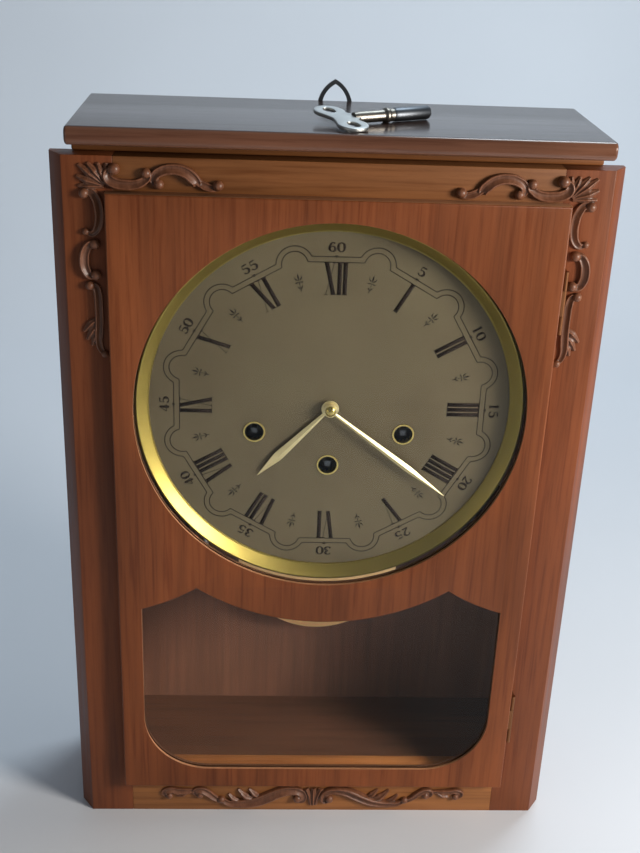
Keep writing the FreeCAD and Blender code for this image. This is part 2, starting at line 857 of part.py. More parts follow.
# Catch: a bent clip on the left stile that the door's stud slides into
def make_catch():
    grip = d.catch_stud_radius + d.catch_play
    reach = (y_face + d.catch_play, y_face + d.catch_stud_length)
    arm = (-x_stile, x_catch + d.catch_stud_radius)
    low, high = z_catch - grip, z_catch + grip
    wall = box((-x_stile, d.catch_thickness - x_stile), reach, (low - d.catch_thickness, high + d.catch_thickness))
    upper = box(arm, reach, (high, high + d.catch_thickness))
    lower = box(arm, reach, (low - d.catch_thickness, low))
    node(fuse(wall, upper, lower), "door_catch_clip")


# Dial, with feet that stand on the movement's front plate
def make_dial():
    depth = (y_dial, y_dial_back)
    ring_outer = opening_radius + d.ring_overlap
    z_upper = z_pillar_high - d.pillar_inset * 2
    foot_spots = ((-x_pillar, z_upper), (x_pillar, z_upper), (0, z_pillar_low + d.pillar_inset))
    feet = [rod("y", d.dial_foot_radius, (y_dial_back, y_plate), x, z) for x, z in foot_spots]
    blank = fuse(rod("y", ring_outer - d.ring_overhang, depth, 0, z_dial), *feet)
    holes = [bore("y", grommet_seat, depth, x, z) for x, z in wind_spots]
    holes.append(bore("y", hour_radius + d.centre_hole_play, depth, 0, z_dial))
    node(cut(blank, *holes), "dial_plate")
    grommets = []
    for x, z in wind_spots:
        rim = rod("y", grommet_bore + d.grommet_rim, (y_dial - d.grommet_rise, y_dial), x, z)
        tube = rod("y", grommet_seat, depth, x, z)
        grommets.append(cut(fuse(rim, tube), bore("y", grommet_bore, depth, x, z)))
    node(group(*grommets), "winding_grommets")
    make_dial_ring(ring_outer)


def make_dial_ring(outer):
    """A sloping sight ring with a rolled crest and a thin foot, turned about the dial's axis."""
    body, sketch = new_sketch("dial_ring")
    inner, wall = outer - d.ring_width, outer - d.ring_foot
    across, level = wall - d.ring_roll, d.ring_rise - d.ring_roll
    roll, lean = float(d.ring_roll), float(d.ring_roll) * math.sqrt(0.5)
    middle = Vector(float(across), -float(level), 0)
    slope_foot, slope_top = Vector(float(inner), 0, 0), middle + Vector(-lean, -lean, 0)
    crown, wall_top = middle + Vector(0, -roll, 0), middle + Vector(roll, 0, 0)
    wall_foot = Vector(float(wall), -float(d.ring_sheet), 0)
    rim_top, rim_foot = Vector(float(outer), -float(d.ring_sheet), 0), Vector(float(outer), 0, 0)
    sketch.addGeometry(Part.LineSegment(slope_foot, slope_top), False)
    sketch.addGeometry(Part.Arc(slope_top, crown, wall_top), False)
    corners = (wall_top, wall_foot, rim_top, rim_foot, slope_foot)
    for start, end in zip(corners, corners[1:]):
        sketch.addGeometry(Part.LineSegment(start, end), False)
    slope, crest, back, foot, rim, base = range(sketch.GeometryCount)
    for first, second in ((slope, crest), (crest, back)):
        sketch.addConstraint(Sketcher.Constraint("Tangent", first, 2, second, 1))
    for first, second in ((back, foot), (foot, rim), (rim, base), (base, slope)):
        sketch.addConstraint(Sketcher.Constraint("Coincident", first, 2, second, 1))
    for line, way in ((back, "Vertical"), (foot, "Horizontal"), (rim, "Vertical")):
        sketch.addConstraint(Sketcher.Constraint(way, line))
    for line in (slope, base):
        sketch.addConstraint(Sketcher.Constraint("PointOnObject", line, 1, -1))
    hold(sketch, "DistanceX", -1, 1, slope, 1, size=inner)
    hold(sketch, "DistanceX", -1, 1, rim, 1, size=outer)
    hold(sketch, "DistanceY", rim, 1, -1, 1, size=d.ring_sheet)
    hold(sketch, "DistanceX", -1, 1, crest, 3, size=across)
    hold(sketch, "DistanceY", crest, 3, -1, 1, size=level)
    hold(sketch, "Radius", crest, size=d.ring_roll)
    turned = body.newObject("PartDesign::Revolution", "dial_ring_turned")
    turned.Profile = sketch
    turned.ReferenceAxis = (sketch, ["V_Axis"])
    turned.Angle = 360
    place(body, 0, y_dial, z_dial)
    node(body, "dial_ring")


# Hands
def hand_shape(reach, boss, width, taper, hole, angle, y):
    """A lance from a round boss, widest where its tip starts to taper, turned clockwise from twelve."""
    reach, half, start = float(reach), float(width) / 2, float(d.hand_root_width) / 2
    tip = float(d.hand_tip_width) / 2
    shoulder = reach - float(taper)
    side = [Vector(start, 0, 0), Vector(half, 0, shoulder), Vector(tip, 0, reach - tip)]
    blade = slab(side + [Vector(0, 0, reach)] + [Vector(-p.x, 0, p.z) for p in reversed(side)], y)
    shape = blade.fuse(disc(boss, y)).cut(disc(hole, y)).removeSplitter()
    shape.rotate(Vector(), Vector(0, 1, 0), float(angle))
    return shape


def make_hands():
    minute_y = (y_minute_hand, y_minute_hand + d.hand_thickness)
    hour_y = (y_hour_hand, y_hour_hand + d.hand_thickness)
    minute = hand_shape(d.minute_reach, d.minute_boss, d.minute_width, d.minute_taper, cannon_radius,
                        d.minute_angle, minute_y)
    node(solid(minute, z=z_dial), "minute_hand")
    hour = hand_shape(d.hour_reach, d.hour_boss, d.hour_width, d.hour_taper, hour_radius, d.hour_angle, hour_y)
    node(solid(hour, z=z_dial), "hour_hand")
    front = y_minute_hand - d.nut_rise
    blank = rod("y", d.nut_radius, (front, y_minute_hand), 0, z_dial)
    crown = dome(d.nut_radius, d.nut_rise - d.nut_crown, front, z_dial)
    socket = rod("y", cannon_bore, (front + d.nut_crown, y_minute_hand), 0, z_dial)
    node(cut(common(blank, crown), socket), "hand_nut")


# Motion work between the dial and the front plate
cannon_y = (y_plate - d.motion_play - d.motion_wheel - d.motion_lap * 2, y_plate - d.motion_play)
minute_wheel_y = (cannon_y[0] + d.motion_lap, cannon_y[1] - d.motion_lap)
hour_wheel_y = (cannon_y[0] - d.motion_air - d.motion_wheel, cannon_y[0] - d.motion_air)
minute_pinion_y = (hour_wheel_y[0] - d.motion_lap, minute_wheel_y[0])


def make_motion_work():
    first = module_of(d.motion_spacing, MINUTE_TEETH, CANNON_LEAVES)
    second = module_of(d.motion_spacing, HOUR_TEETH, MINUTE_LEAVES)
    away = math.radians(MOTION_ANGLE)
    back = away + math.pi
    cannon = gear(CANNON_LEAVES, first, cannon_y, facing_gap(away, CANNON_LEAVES), PINION_LEAF)
    tube = (y_minute_hand, cannon_y[1])
    cannon = cannon.fuse(disc(cannon_radius, tube)).cut(disc(cannon_bore, tube))
    node(solid(cannon, z=z_dial), "cannon_pinion")
    wheel = gear(MINUTE_TEETH, first, minute_wheel_y, back, WHEEL_TOOTH)
    leaves = gear(MINUTE_LEAVES, second, minute_pinion_y, facing_gap(back, MINUTE_LEAVES), PINION_LEAF)
    collar = (minute_wheel_y[1], y_plate - d.running_play)
    whole = (minute_pinion_y[0], collar[1])
    wheel = wheel.fuse(leaves).fuse(disc(d.stud_radius * 2, collar))
    wheel = wheel.cut(disc(d.stud_radius + d.running_play, whole))
    node(solid(wheel, x=motion_x, z=z_dial + motion_z), "minute_wheel")
    hour = gear(HOUR_TEETH, second, hour_wheel_y, away, WHEEL_TOOTH)
    hour = crossed_out(hour, hour_wheel_y, second * HOUR_TEETH / 2)
    sleeve = (y_hour_hand, cannon_y[0] - d.running_play)
    hour = hour.fuse(disc(hour_radius, sleeve)).cut(disc(hour_bore, sleeve))
    node(solid(hour, z=z_dial), "hour_wheel")


# Movement frame
def click_spot(spot, angle):
    turn = math.radians(angle)
    return spot[0] + click_reach * math.cos(turn), spot[1] + click_reach * math.sin(turn)


def arbor_bores(depth):
    winding = [bore("y", d.arbor_radius + d.running_play, depth, x, z) for x, z in wind_spots]
    train = [bore("y", cannon_bore, depth, x, z) for x, z in train_spots.values()]
    return winding + train


def make_plates():
    width, height = (-x_plate, x_plate), (z_seat, z_plate_top)
    front, back = (y_plate, y_inside), (y_rear, y_movement)
    stud_front = y_plate - d.ratchet_air - d.wheel_thickness - d.stud_end
    studs = [rod("y", d.stud_radius, (stud_front, y_inside), *click_spot(spot, angle))
             for spot, angle in zip(wind_spots, CLICK_ANGLES)]
    studs.append(rod("y", d.stud_radius, (minute_pinion_y[0], y_inside), motion_x, z_dial + motion_z))
    node(fuse(cut(box(width, front, height), *arbor_bores(front)), *studs), "front_plate")
    hammer_stud = rod("y", d.stud_radius, (y_rear, y_face + hammer_depth), x_hammer, z_hammer)
    node(fuse(cut(box(width, back, height), *arbor_bores(back)), hammer_stud), "back_plate")
    spots = [(sign * x_pillar, z) for sign in (-1, 1) for z in (z_pillar_low, z_pillar_high)]
    node(group(*[rod("y", d.pillar_radius, (y_inside, y_rear), x, z) for x, z in spots]), "plate_pillars")


# Barrels, winding arbors with their ratchets, and clicks
ratchet_y = (y_plate - d.ratchet_air - d.wheel_thickness, y_plate - d.ratchet_air)


def make_barrels():
    great_module = module_of(d.wind_centre_drop, BARREL_TEETH, CENTRE_LEAVES)
    side_module = 2 * float(d.side_wheel_radius) / (SIDE_BARREL_TEETH + 2)
    for name, (x, z) in zip(BARREL_NAMES, wind_spots):
        if name == "time":
            level = thick(time_wheel_level, d.wheel_thickness)
            wheel = gear(BARREL_TEETH, great_module, level, math.pi / 2, WHEEL_TOOTH)
            drum = (level[0] - d.barrel_length, level[0])
        else:
            level = thick(side_wheel_level, d.wheel_thickness)
            wheel = gear(SIDE_BARREL_TEETH, side_module, level, 0.0, WHEEL_TOOTH)
            drum = (level[1], level[1] + d.barrel_length)
        whole = min(level[0], drum[0], key=float), max(level[1], drum[1], key=float)
        barrel = wheel.fuse(disc(d.barrel_radius, drum)).cut(disc(d.arbor_radius + d.running_play, whole))
        node(solid(barrel, x=x, z=z), name + "_barrel")


def make_winding():
    tip, low = float(d.ratchet_radius), float(d.ratchet_radius - d.ratchet_depth)
    half = float(d.square_width) / 2
    square = [Vector(across * half, 0, up * half) for across, up in ((-1, -1), (1, -1), (1, 1), (-1, 1))]
    for name, spot, angle in zip(BARREL_NAMES, wind_spots, CLICK_ANGLES):
        ratchet = toothed(RATCHET_TEETH, [(low, 0.0), (tip, 0.0)], 0.0, ratchet_y)
        shaft = disc(d.arbor_radius, (ratchet_y[0], y_movement))
        end = slab(square, (y_dial + d.square_recess, ratchet_y[0]))
        node(solid(ratchet.fuse(shaft).fuse(end), x=spot[0], z=spot[1]), name + "_winding_arbor")
        pivot = click_spot(spot, angle)
        node(solid(click_shape(angle), x=pivot[0], z=pivot[1]), name + "_click")


def click_shape(angle):
    """An arm from its pivot along the tangent of the ratchet's tip circle."""
    reach, near = float(click_reach), float(d.ratchet_radius + d.click_clearance)
    start = math.radians(angle)
    outward = polar(1.0, start + math.acos(near / reach))
    tip = outward * near - polar(reach, start)
    root_corner, tip_corner = outward * float(d.click_width), tip + outward * float(d.click_tip)
    arm = slab([Vector(), tip, tip_corner, root_corner], ratchet_y)
    return arm.fuse(disc(d.click_width, ratchet_y)).cut(disc(d.stud_radius + d.running_play, ratchet_y))


# Going train
def overlapped(y):
    """A pinion's Y values, a little past both faces of the wheel that drives it."""
    return (y[0] - d.leaf_lap, y[1] + d.leaf_lap)


def make_going_train():
    great_module = module_of(d.wind_centre_drop, BARREL_TEETH, CENTRE_LEAVES)
    centre_module = module_of(d.third_spacing, CENTRE_TEETH, THIRD_LEAVES)
    third_module = module_of(d.escape_spacing, THIRD_TEETH, ESCAPE_LEAVES)
    to_third = heading(train_spots["centre"], train_spots["third"])
    to_escape = heading(train_spots["third"], train_spots["escape"])
    down = -math.pi / 2
    centre_y = thick(centre_wheel_level, d.thin_wheel)
    third_y = thick(d.third_level, d.thin_wheel)
    shaft = disc(d.train_arbor_radius, (y_plate, y_movement))

    wheel = gear(CENTRE_TEETH, centre_module, centre_y, to_third, WHEEL_TOOTH)
    wheel = crossed_out(wheel, centre_y, centre_module * CENTRE_TEETH / 2)
    leaves_y = (y_inside + time_wheel_level - d.leaf_lap, centre_y[0])
    leaves = gear(CENTRE_LEAVES, great_module, leaves_y, facing_gap(down, CENTRE_LEAVES), PINION_LEAF)
    nose = disc(d.train_arbor_radius, (y_minute_hand - d.nut_rise + d.nut_crown + d.running_play, y_movement))
    node(solid(wheel.fuse(leaves).fuse(nose), z=z_dial), "centre_wheel")

    wheel = gear(THIRD_TEETH, third_module, third_y, to_escape, WHEEL_TOOTH)
    wheel = crossed_out(wheel, third_y, third_module * THIRD_TEETH / 2)
    back = to_third + math.pi
    phase = facing_gap(back, THIRD_LEAVES)
    leaves = gear(THIRD_LEAVES, centre_module, overlapped(centre_y), phase, PINION_LEAF)
    x, z = train_spots["third"]
    node(solid(wheel.fuse(leaves).fuse(shaft), x=x, z=z), "third_wheel")

    escape_y = thick(d.escape_level, d.thin_wheel)
    tip, low = float(d.escape_radius), float(d.escape_radius - d.escape_tooth)
    pitch = 2 * math.pi * low / ESCAPE_TEETH
    tooth = [(low, ESCAPE_FRONT * pitch), (tip, 0.0), (low, ESCAPE_BACK * pitch)]
    wheel = toothed(ESCAPE_TEETH, tooth, 0.0, escape_y)
    wheel = crossed_out(wheel, escape_y, low)
    back = to_escape + math.pi
    phase = facing_gap(back, ESCAPE_LEAVES)
    leaves = gear(ESCAPE_LEAVES, third_module, overlapped(third_y), phase, PINION_LEAF)
    node(solid(wheel.fuse(leaves).fuse(shaft), z=z_escape), "escape_wheel")


# Recoil anchor over the escape wheel, with the crutch that takes its swing to the pendulum rod
def make_anchor():
    near = polar(float(d.escape_radius + d.pallet_clearance), math.radians(90 - PALLET_ANGLE))
    nib = near - Vector(0, 0, float(anchor_spacing))
    heel = nib + polar(float(d.pallet_width), math.radians(90 - PALLET_ANGLE))
    brow = Vector(nib.x / 2, 0, float(d.anchor_brow))
    throat = Vector(nib.x / 2, 0, -float(d.train_arbor_radius) / 2)
    right = [throat, nib, heel, brow]
    left = [Vector(-p.x, 0, p.z) for p in reversed(right)]
    level = thick(d.escape_level - d.anchor_overhang, d.thin_wheel + d.anchor_overhang * 2)
    crutch_y = (y_movement + d.crutch_air, y_movement + d.crutch_air + d.crutch_thickness)
    anchor = slab(right + left, level).fuse(disc(d.train_arbor_radius, (y_plate, crutch_y[1])))
    half, fork = float(d.crutch_width) / 2, float(d.rod_radius + d.crutch_play + d.prong_radius * 2)
    low = -float(d.crutch_length)
    step = low + float(d.fork_height)
    side = [Vector(half, 0, half * 2), Vector(half, 0, step), Vector(fork, 0, step), Vector(fork, 0, low)]
    anchor = anchor.fuse(slab(side + [Vector(-p.x, 0, p.z) for p in reversed(side)], crutch_y))
    prong_y = (crutch_y[0], y_pendulum + d.rod_radius)
    for sign in (-1, 1):
        prong_x = sign * (fork - float(d.prong_radius))
        anchor = anchor.fuse(disc(d.prong_radius, prong_y, prong_x, (low + step) / 2))
    node(solid(anchor.removeSplitter(), z=z_anchor), "pallet_anchor")


# Pendulum, and the cock behind the back plate that carries it
def make_pendulum():
    half, foot_half = d.cock_width / 2, d.cock_foot_width / 2
    low = z_anchor + d.cock_rise
    eye = (y_pendulum - d.eye_width / 2, y_pendulum + d.eye_width / 2)
    post = (eye[1] + d.cock_air, eye[1] + d.cock_air + d.cock_post)
    foot_y = (y_movement, y_movement + d.cock_foot_thickness)
    foot = box((-foot_half, foot_half), foot_y, (low, low + d.cock_foot_height))
    arm = box((-half, half), (y_movement, post[1]), (low, low + d.cock_arm_height))
    drop = box((-half, half), post, (z_anchor - half, low + d.cock_arm_height))
    pin = rod("y", d.rod_radius, (eye[0] - d.cock_air, post[1]), 0, z_anchor)
    node(fuse(foot, arm, drop, pin), "suspension_cock")

    eye_bore = d.rod_radius + d.running_play
    eye_radius = eye_bore + d.eye_wall
    pocket_low = z_bob - d.bob_radius + d.nut_pocket_lift
    pocket_top = pocket_low + d.nut_pocket_height
    stem = rod("z", d.rod_radius, (pocket_low + d.rating_nut_play, z_anchor - eye_bore), 0, y_pendulum)
    ring = rod("y", eye_radius, eye, 0, z_anchor)
    node(cut(fuse(stem, ring), bore("y", eye_bore, eye, 0, z_anchor)), "pendulum_rod")

    front, back = y_pendulum - d.bob_thickness / 2, y_pendulum + d.bob_thickness / 2
    blank = rod("y", d.bob_radius, (front, back), 0, z_bob)
    lens = common(blank, dome(d.bob_radius, d.bob_dome, front, z_bob))
    hollow = common(rod("y", d.bob_radius - d.bob_wall, (front, back + d.stud_end), 0, z_bob),
                    dome(d.bob_radius, d.bob_dome, front + d.bob_wall, z_bob))
    bar_half = d.bob_bar / 2
    bar = box((-bar_half, bar_half), (front, back + d.stud_end), (z_bob - d.bob_radius, z_bob + d.bob_radius))
    pan = cut(lens, cut(hollow, bar))
    nut_radius = d.bob_thickness / 2 - d.bob_wall - d.rating_nut_play
    pocket_half = nut_radius + d.rating_nut_play
    pocket_y = (y_pendulum - pocket_half, back + d.stud_end)
    pocket = box((-pocket_half, pocket_half), pocket_y, (pocket_low, pocket_top))
    hole = bore("z", d.rod_radius, (pocket_top, z_bob + d.bob_radius), 0, y_pendulum)
    node(cut(pan, pocket, hole), "pendulum_bob")
    nut_z = (pocket_top - d.rating_nut_height, pocket_top)
    nut = rod("z", nut_radius, nut_z, 0, y_pendulum)
    node(cut(nut, bore("z", eye_bore, nut_z, 0, y_pendulum)), "rating_nut")


# Gong rods hanging from a block on the back board, and a hammer for each
def make_gong():
    reach = d.hammer_hub
    block_x = (x_gong - d.gong_block_width / 2, x_gong + d.gong_block_width / 2)
    block_y = (y_hammers[0] - reach, y_board)
    node(box(block_x, block_y, (z_gong, z_gong + d.gong_block_height)), "gong_block")
    rods = [rod("z", d.gong_rod_radius, (z_gong - d.gong_rod_length, z_gong), x_gong, y) for y in y_hammers]
    node(group(*rods), "gong_rods")
    z_head = z_hammer - d.hammer_drop
    head_x = (x_gong + d.gong_rod_radius + d.hammer_gap, x_hammer + d.hammer_head_radius)
    for label, y in zip(("chime_hammer", "strike_hammer"), y_hammers):
        width = (y - d.hammer_width / 2, y + d.hammer_width / 2)
        hub = rod("y", d.hammer_hub, width, x_hammer, z_hammer)
        arm = rod("z", d.stud_radius, (z_head, z_hammer - d.stud_radius - d.running_play), x_hammer, y)
        head = rod("x", d.hammer_head_radius, head_x, y, z_head)
        eye = bore("y", d.stud_radius + d.running_play, width, x_hammer, z_hammer)
        node(cut(fuse(hub, arm, head), eye), label)


# Winding key lying on the cap: a winged handle that leans on its near wing, a neck and a square socket
def make_key():
    flat = (-d.key_plate / 2, d.key_plate / 2)
    wing_y = d.key_span / 2 - d.key_wing
    wings = [rod("z", d.key_wing, flat, 0, sign * wing_y) for sign in (-1, 1)]
    holes = [bore("z", d.key_hole, flat, 0, sign * wing_y) for sign in (-1, 1)]
    web = box((-d.key_web / 2, d.key_web / 2), (-wing_y, wing_y), flat)
    neck_end = d.key_wing + d.key_neck_length
    socket_end = neck_end + d.key_socket_length
    neck = rod("x", d.key_neck_radius, (d.key_wing / 2, neck_end), 0, 0)
    socket = rod("x", d.key_socket_radius, (neck_end, socket_end), 0, 0)
    half = d.square_width / 2 + d.key_play
    square = box((socket_end - d.key_bore_depth, socket_end + d.stud_end), (-half, half), (-half, half))
    key = cut(fuse(cut(fuse(*wings, web), *holes), neck, socket), square)
    lean = math.degrees(math.asin(float((d.key_socket_radius - d.key_plate / 2) / (d.key_span / 2))))
    key.Placement = Placement(Vector(), Rotation(float(d.key_angle), 0, lean))
    place(key, -d.key_offset, y_face + d.key_back, z_cap + d.key_play + d.key_socket_radius)
    node(key, "winding_key")


make_carcass()
make_screws()
make_face_frame()
make_cap()
make_hanger()
make_carvings()
make_door()
make_hinges()
make_catch()
make_dial()
make_hands()
make_motion_work()
make_plates()
make_barrels()
make_winding()
make_going_train()
make_anchor()
make_pendulum()
make_gong()
make_key()
doc.recompute()

# Every object has to be sound before anything is written
for item in doc.Objects:
    if "Invalid" in item.State or "Error" in item.State:
        raise RuntimeError(f"{item.Label} did not build: {item.State}")
for item in nodes:
    if item.Shape.isNull() or not item.Shape.isValid():
        raise RuntimeError(f"{item.Label} has no sound shape")

os.makedirs("parts", exist_ok=True)
for item in nodes:
    item.Shape.exportStep(f"parts/{item.Label}.step")
print(len(nodes), "pieces written")
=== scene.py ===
# %% [markdown]
# # A regulator wall clock, dressed in Blender
# The clock comes from the CAD model as a fixed frame: wooden case, overlay door, dial, hands,
# movement, pendulum and key, each at its real place in metres. This lesson gives every piece its
# finish, and models again the pieces that a carver, a printer or an engraver would have worked by hand.

# %% Load the frame
import math

import bpy
from mathutils import Matrix, Vector


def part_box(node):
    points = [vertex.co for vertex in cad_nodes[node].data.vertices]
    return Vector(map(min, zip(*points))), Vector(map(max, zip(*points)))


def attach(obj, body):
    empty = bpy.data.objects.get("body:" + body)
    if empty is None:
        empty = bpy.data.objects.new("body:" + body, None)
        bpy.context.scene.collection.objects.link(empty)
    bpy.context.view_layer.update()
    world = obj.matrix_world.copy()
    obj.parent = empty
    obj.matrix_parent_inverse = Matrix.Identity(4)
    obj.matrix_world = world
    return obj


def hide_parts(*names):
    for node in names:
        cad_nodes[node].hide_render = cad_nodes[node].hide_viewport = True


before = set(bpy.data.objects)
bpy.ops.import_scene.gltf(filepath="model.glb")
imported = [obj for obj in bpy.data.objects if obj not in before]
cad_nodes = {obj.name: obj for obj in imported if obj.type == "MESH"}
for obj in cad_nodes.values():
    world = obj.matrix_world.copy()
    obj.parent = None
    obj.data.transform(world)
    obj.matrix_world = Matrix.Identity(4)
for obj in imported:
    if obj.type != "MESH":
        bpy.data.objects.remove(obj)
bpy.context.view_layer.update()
MM = 0.001

# %% [markdown]
# ## The camera
# The photograph was taken from a little above and left of the clock, looking down on it. The camera
# goes where the lines of the case meet the photograph's own lines: its place, how far it looks down,
# how far it looks aside, and a slight roll of the hand that held it.

# %% Camera
CAMERA_PLACE = Vector((-43.5, -745.8, 632.0)) * MM
LOOK_DOWN, LOOK_ASIDE, HAND_ROLL = 24.41, -3.04, 2.36
LONG_SIDE_PIXELS, FOCAL_PIXELS, SENSOR = 853, 1217.1, 36.0


def turned(degrees, axis):
    return Matrix.Rotation(math.radians(degrees), 4, axis)


bpy.ops.object.select_all(action="DESELECT")
bpy.ops.object.camera_add()
camera = bpy.context.object
camera.data.sensor_width = SENSOR
camera.data.lens = FOCAL_PIXELS * SENSOR / LONG_SIDE_PIXELS
camera.data.clip_start = 0.01
aim = turned(LOOK_ASIDE, "Z") @ turned(90 - LOOK_DOWN, "X") @ turned(HAND_ROLL, "Z")
camera.matrix_world = Matrix.Translation(CAMERA_PLACE) @ aim
bpy.context.scene.camera = camera
print("camera lens", round(camera.data.lens, 2), "mm")

# %% [markdown]
# ## Hand tools
# A few helpers keep the steps short. An operator works on whatever is selected, so `pick` always
# lets go of everything first. Flat work, such as carving and print, is drawn lying on the bench in
# millimetres, with its front up, and `stand_up` then sets it upright at its place on the clock.

# %% Helpers
SHARP_EDGE = math.radians(40)


def pick(*pieces):
    """Let go of everything, then take hold of these pieces only."""
    if bpy.context.object and bpy.context.object.mode != "OBJECT":
        bpy.ops.object.mode_set(mode="OBJECT")
    bpy.ops.object.select_all(action="DESELECT")
    for piece in pieces:
        piece.select_set(True)
    bpy.context.view_layer.objects.active = pieces[0]


def work(piece, kind, **settings):
    """Add a modifier with these settings and apply it."""
    pick(piece)
    modifier = piece.modifiers.new(kind.lower(), kind)
    for setting, value in settings.items():
        setattr(modifier, setting, value)
    bpy.ops.object.modifier_apply(modifier=modifier.name)


def clean(piece, merge=1e-4):
    """Merge doubled points and turn all faces outwards."""
    pick(piece)
    bpy.ops.object.mode_set(mode="EDIT")
    bpy.ops.mesh.select_all(action="SELECT")
    bpy.ops.mesh.remove_doubles(threshold=merge)
    bpy.ops.mesh.normals_make_consistent(inside=False)
    bpy.ops.object.mode_set(mode="OBJECT")


def joined(pieces, name):
    """Join pieces into one object with its own name."""
    pick(*pieces)
    if len(pieces) > 1:
        bpy.ops.object.join()
    piece = bpy.context.object
    piece.name = piece.data.name = name
    return piece


def settle(piece, place):
    """Move a bench piece to its place on the clock, and keep the place in its mesh."""
    piece.matrix_world = place
    pick(piece)
    bpy.ops.object.transform_apply(location=True, rotation=True, scale=True)


def stand_up(piece, x=0.0, y=0.0, z=0.0, clock_turn=0.0):
    """Set flat bench work upright, its front towards the viewer, turned clockwise by an angle."""
    spot = Matrix.Translation(Vector((x, y, z)) * MM)
    settle(piece, spot @ turned(90, "X") @ turned(-clock_turn, "Z") @ Matrix.Scale(MM, 4))


def smooth(piece, degrees=35):
    pick(piece)
    bpy.ops.object.shade_smooth_by_angle(angle=math.radians(degrees))


def fit(piece, body, finish, nodes=()):
    """Give a finished piece its material, its moving body and the CAD nodes that it stands for."""
    piece.data.materials.clear()
    piece.data.materials.append(finish)
    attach(piece, body)
    for node in nodes:
        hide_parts(node)
    print(piece.name, "on", body, "with", len(piece.data.polygons), "faces")


def millimetres(node):
    """A CAD piece's lowest and highest corners in millimetres."""
    low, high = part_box(node)
    return low / MM, high / MM


print("hand tools ready")

# %% [markdown]
# ## Finishes: building blocks
# Every finish is made of noise stretched along the material's own direction, coloured by a ramp, and
# used again for gloss and for fine bumps. `step` adds one node and joins up its inputs, so that a
# finish reads like a recipe.

# %% Finish helpers
def new_finish(name):
    finish = bpy.data.materials.new(name)
    finish.use_nodes = True
    return finish, finish.node_tree, finish.node_tree.nodes["Principled BSDF"]


def step(tree, kind, output=0, settings=None, **inputs):
    """Add a node, set its options, feed its inputs, and hand back one of its outputs."""
    node = tree.nodes.new(f"ShaderNode{kind}")
    for setting, value in (settings or {}).items():
        setattr(node, setting, value)
    for name, value in inputs.items():
        socket = node.inputs[int(name[1:])] if name[0] == "i" and name[1:].isdigit() else node.inputs[name]
        if isinstance(value, bpy.types.NodeSocket):
            tree.links.new(value, socket)
        else:
            socket.default_value = value
    return node.outputs[output]


def stretched(tree, scale, turn=(0, 0, 0), shift=(0, 0, 0)):
    place = step(tree, "TexCoord", output="Object")
    return step(tree, "Mapping", Vector=place, Location=shift, Rotation=turn, Scale=scale)


def noise(tree, where, scale, detail=3.0, roughness=0.55, distortion=0.0):
    return step(tree, "TexNoise", Vector=where, Scale=scale, Detail=detail, Roughness=roughness,
                Distortion=distortion)


def ramp(tree, factor, *stops):
    """A colour ramp from (position, colour) pairs, where a number stands for a grey."""
    node = tree.nodes.new("ShaderNodeValToRGB")
    tree.links.new(factor, node.inputs[0])
    elements = node.color_ramp.elements
    while len(elements) < len(stops):
        elements.new(0.5)
    for element, (position, colour) in zip(elements, stops):
        element.position = position
        grey = (colour,) * 3 if isinstance(colour, (int, float)) else colour
        element.color = (*grey, 1.0)
    return node.outputs[0]


def blend(tree, factor, one, two, mode="MIX"):
    node = tree.nodes.new("ShaderNodeMix")
    node.data_type, node.blend_type = "RGBA", mode
    for socket, value in zip((node.inputs[0], node.inputs[6], node.inputs[7]), (factor, one, two)):
        if isinstance(value, bpy.types.NodeSocket):
            tree.links.new(value, socket)
        else:
            socket.default_value = value if isinstance(value, (int, float)) else (*value, 1.0)
    return node.outputs[2]


def spread(tree, value, low, high, start=0.0, end=1.0):
    """Map a value between start and end onto the range from low to high."""
    names = {"From Min": start, "From Max": end, "To Min": low, "To Max": high}
    return step(tree, "MapRange", Value=value, **names)


def bump(tree, shader, height, strength, depth):
    normal = step(tree, "Bump", Height=height, Strength=strength, Distance=depth)
    tree.links.new(normal, shader.inputs["Normal"])


print("finish helpers ready")

# %% [markdown]
# ## Wood
# Mahogany veneer shows three scales at once: soft ribbons a finger wide that catch the light in turns,
# long fine lines, and short faint pores. Each is a noise stretched along the grain. The case is stained
# and rubbed with a thin satin lacquer. The grain runs up the door and the sides, and along the rails
# and the cap, so the same recipe takes the grain's axis as a value. Two boards have a second colour
# painted on the faces that look up, down or sideways: a painted highlight makes the door's cut edges
# pale, and a painted reflection makes the cap's top darker than its front. The whole cap is glossier
# than the case, so that its top mirrors the wall behind.

# %% Wood finishes
RIBBON_SCALE, LINE_SCALE, CLOUD_SCALE, PORE_SCALE = 62, 330, 8, 1400
RIBBON_STRETCH, LINE_STRETCH, PORE_STRETCH = 0.09, 0.035, 0.05
GRAIN_DEPTH, LACQUER_ROUGHNESS = 0.00015, 0.14


def along_grain(axis, stretch):
    """Texture scales that draw a noise out along one axis."""
    return tuple(stretch if name == axis else 1.0 for name in "xyz")


def shaded(colour, share):
    """A colour made darker or lighter."""
    return tuple(share * c for c in colour)


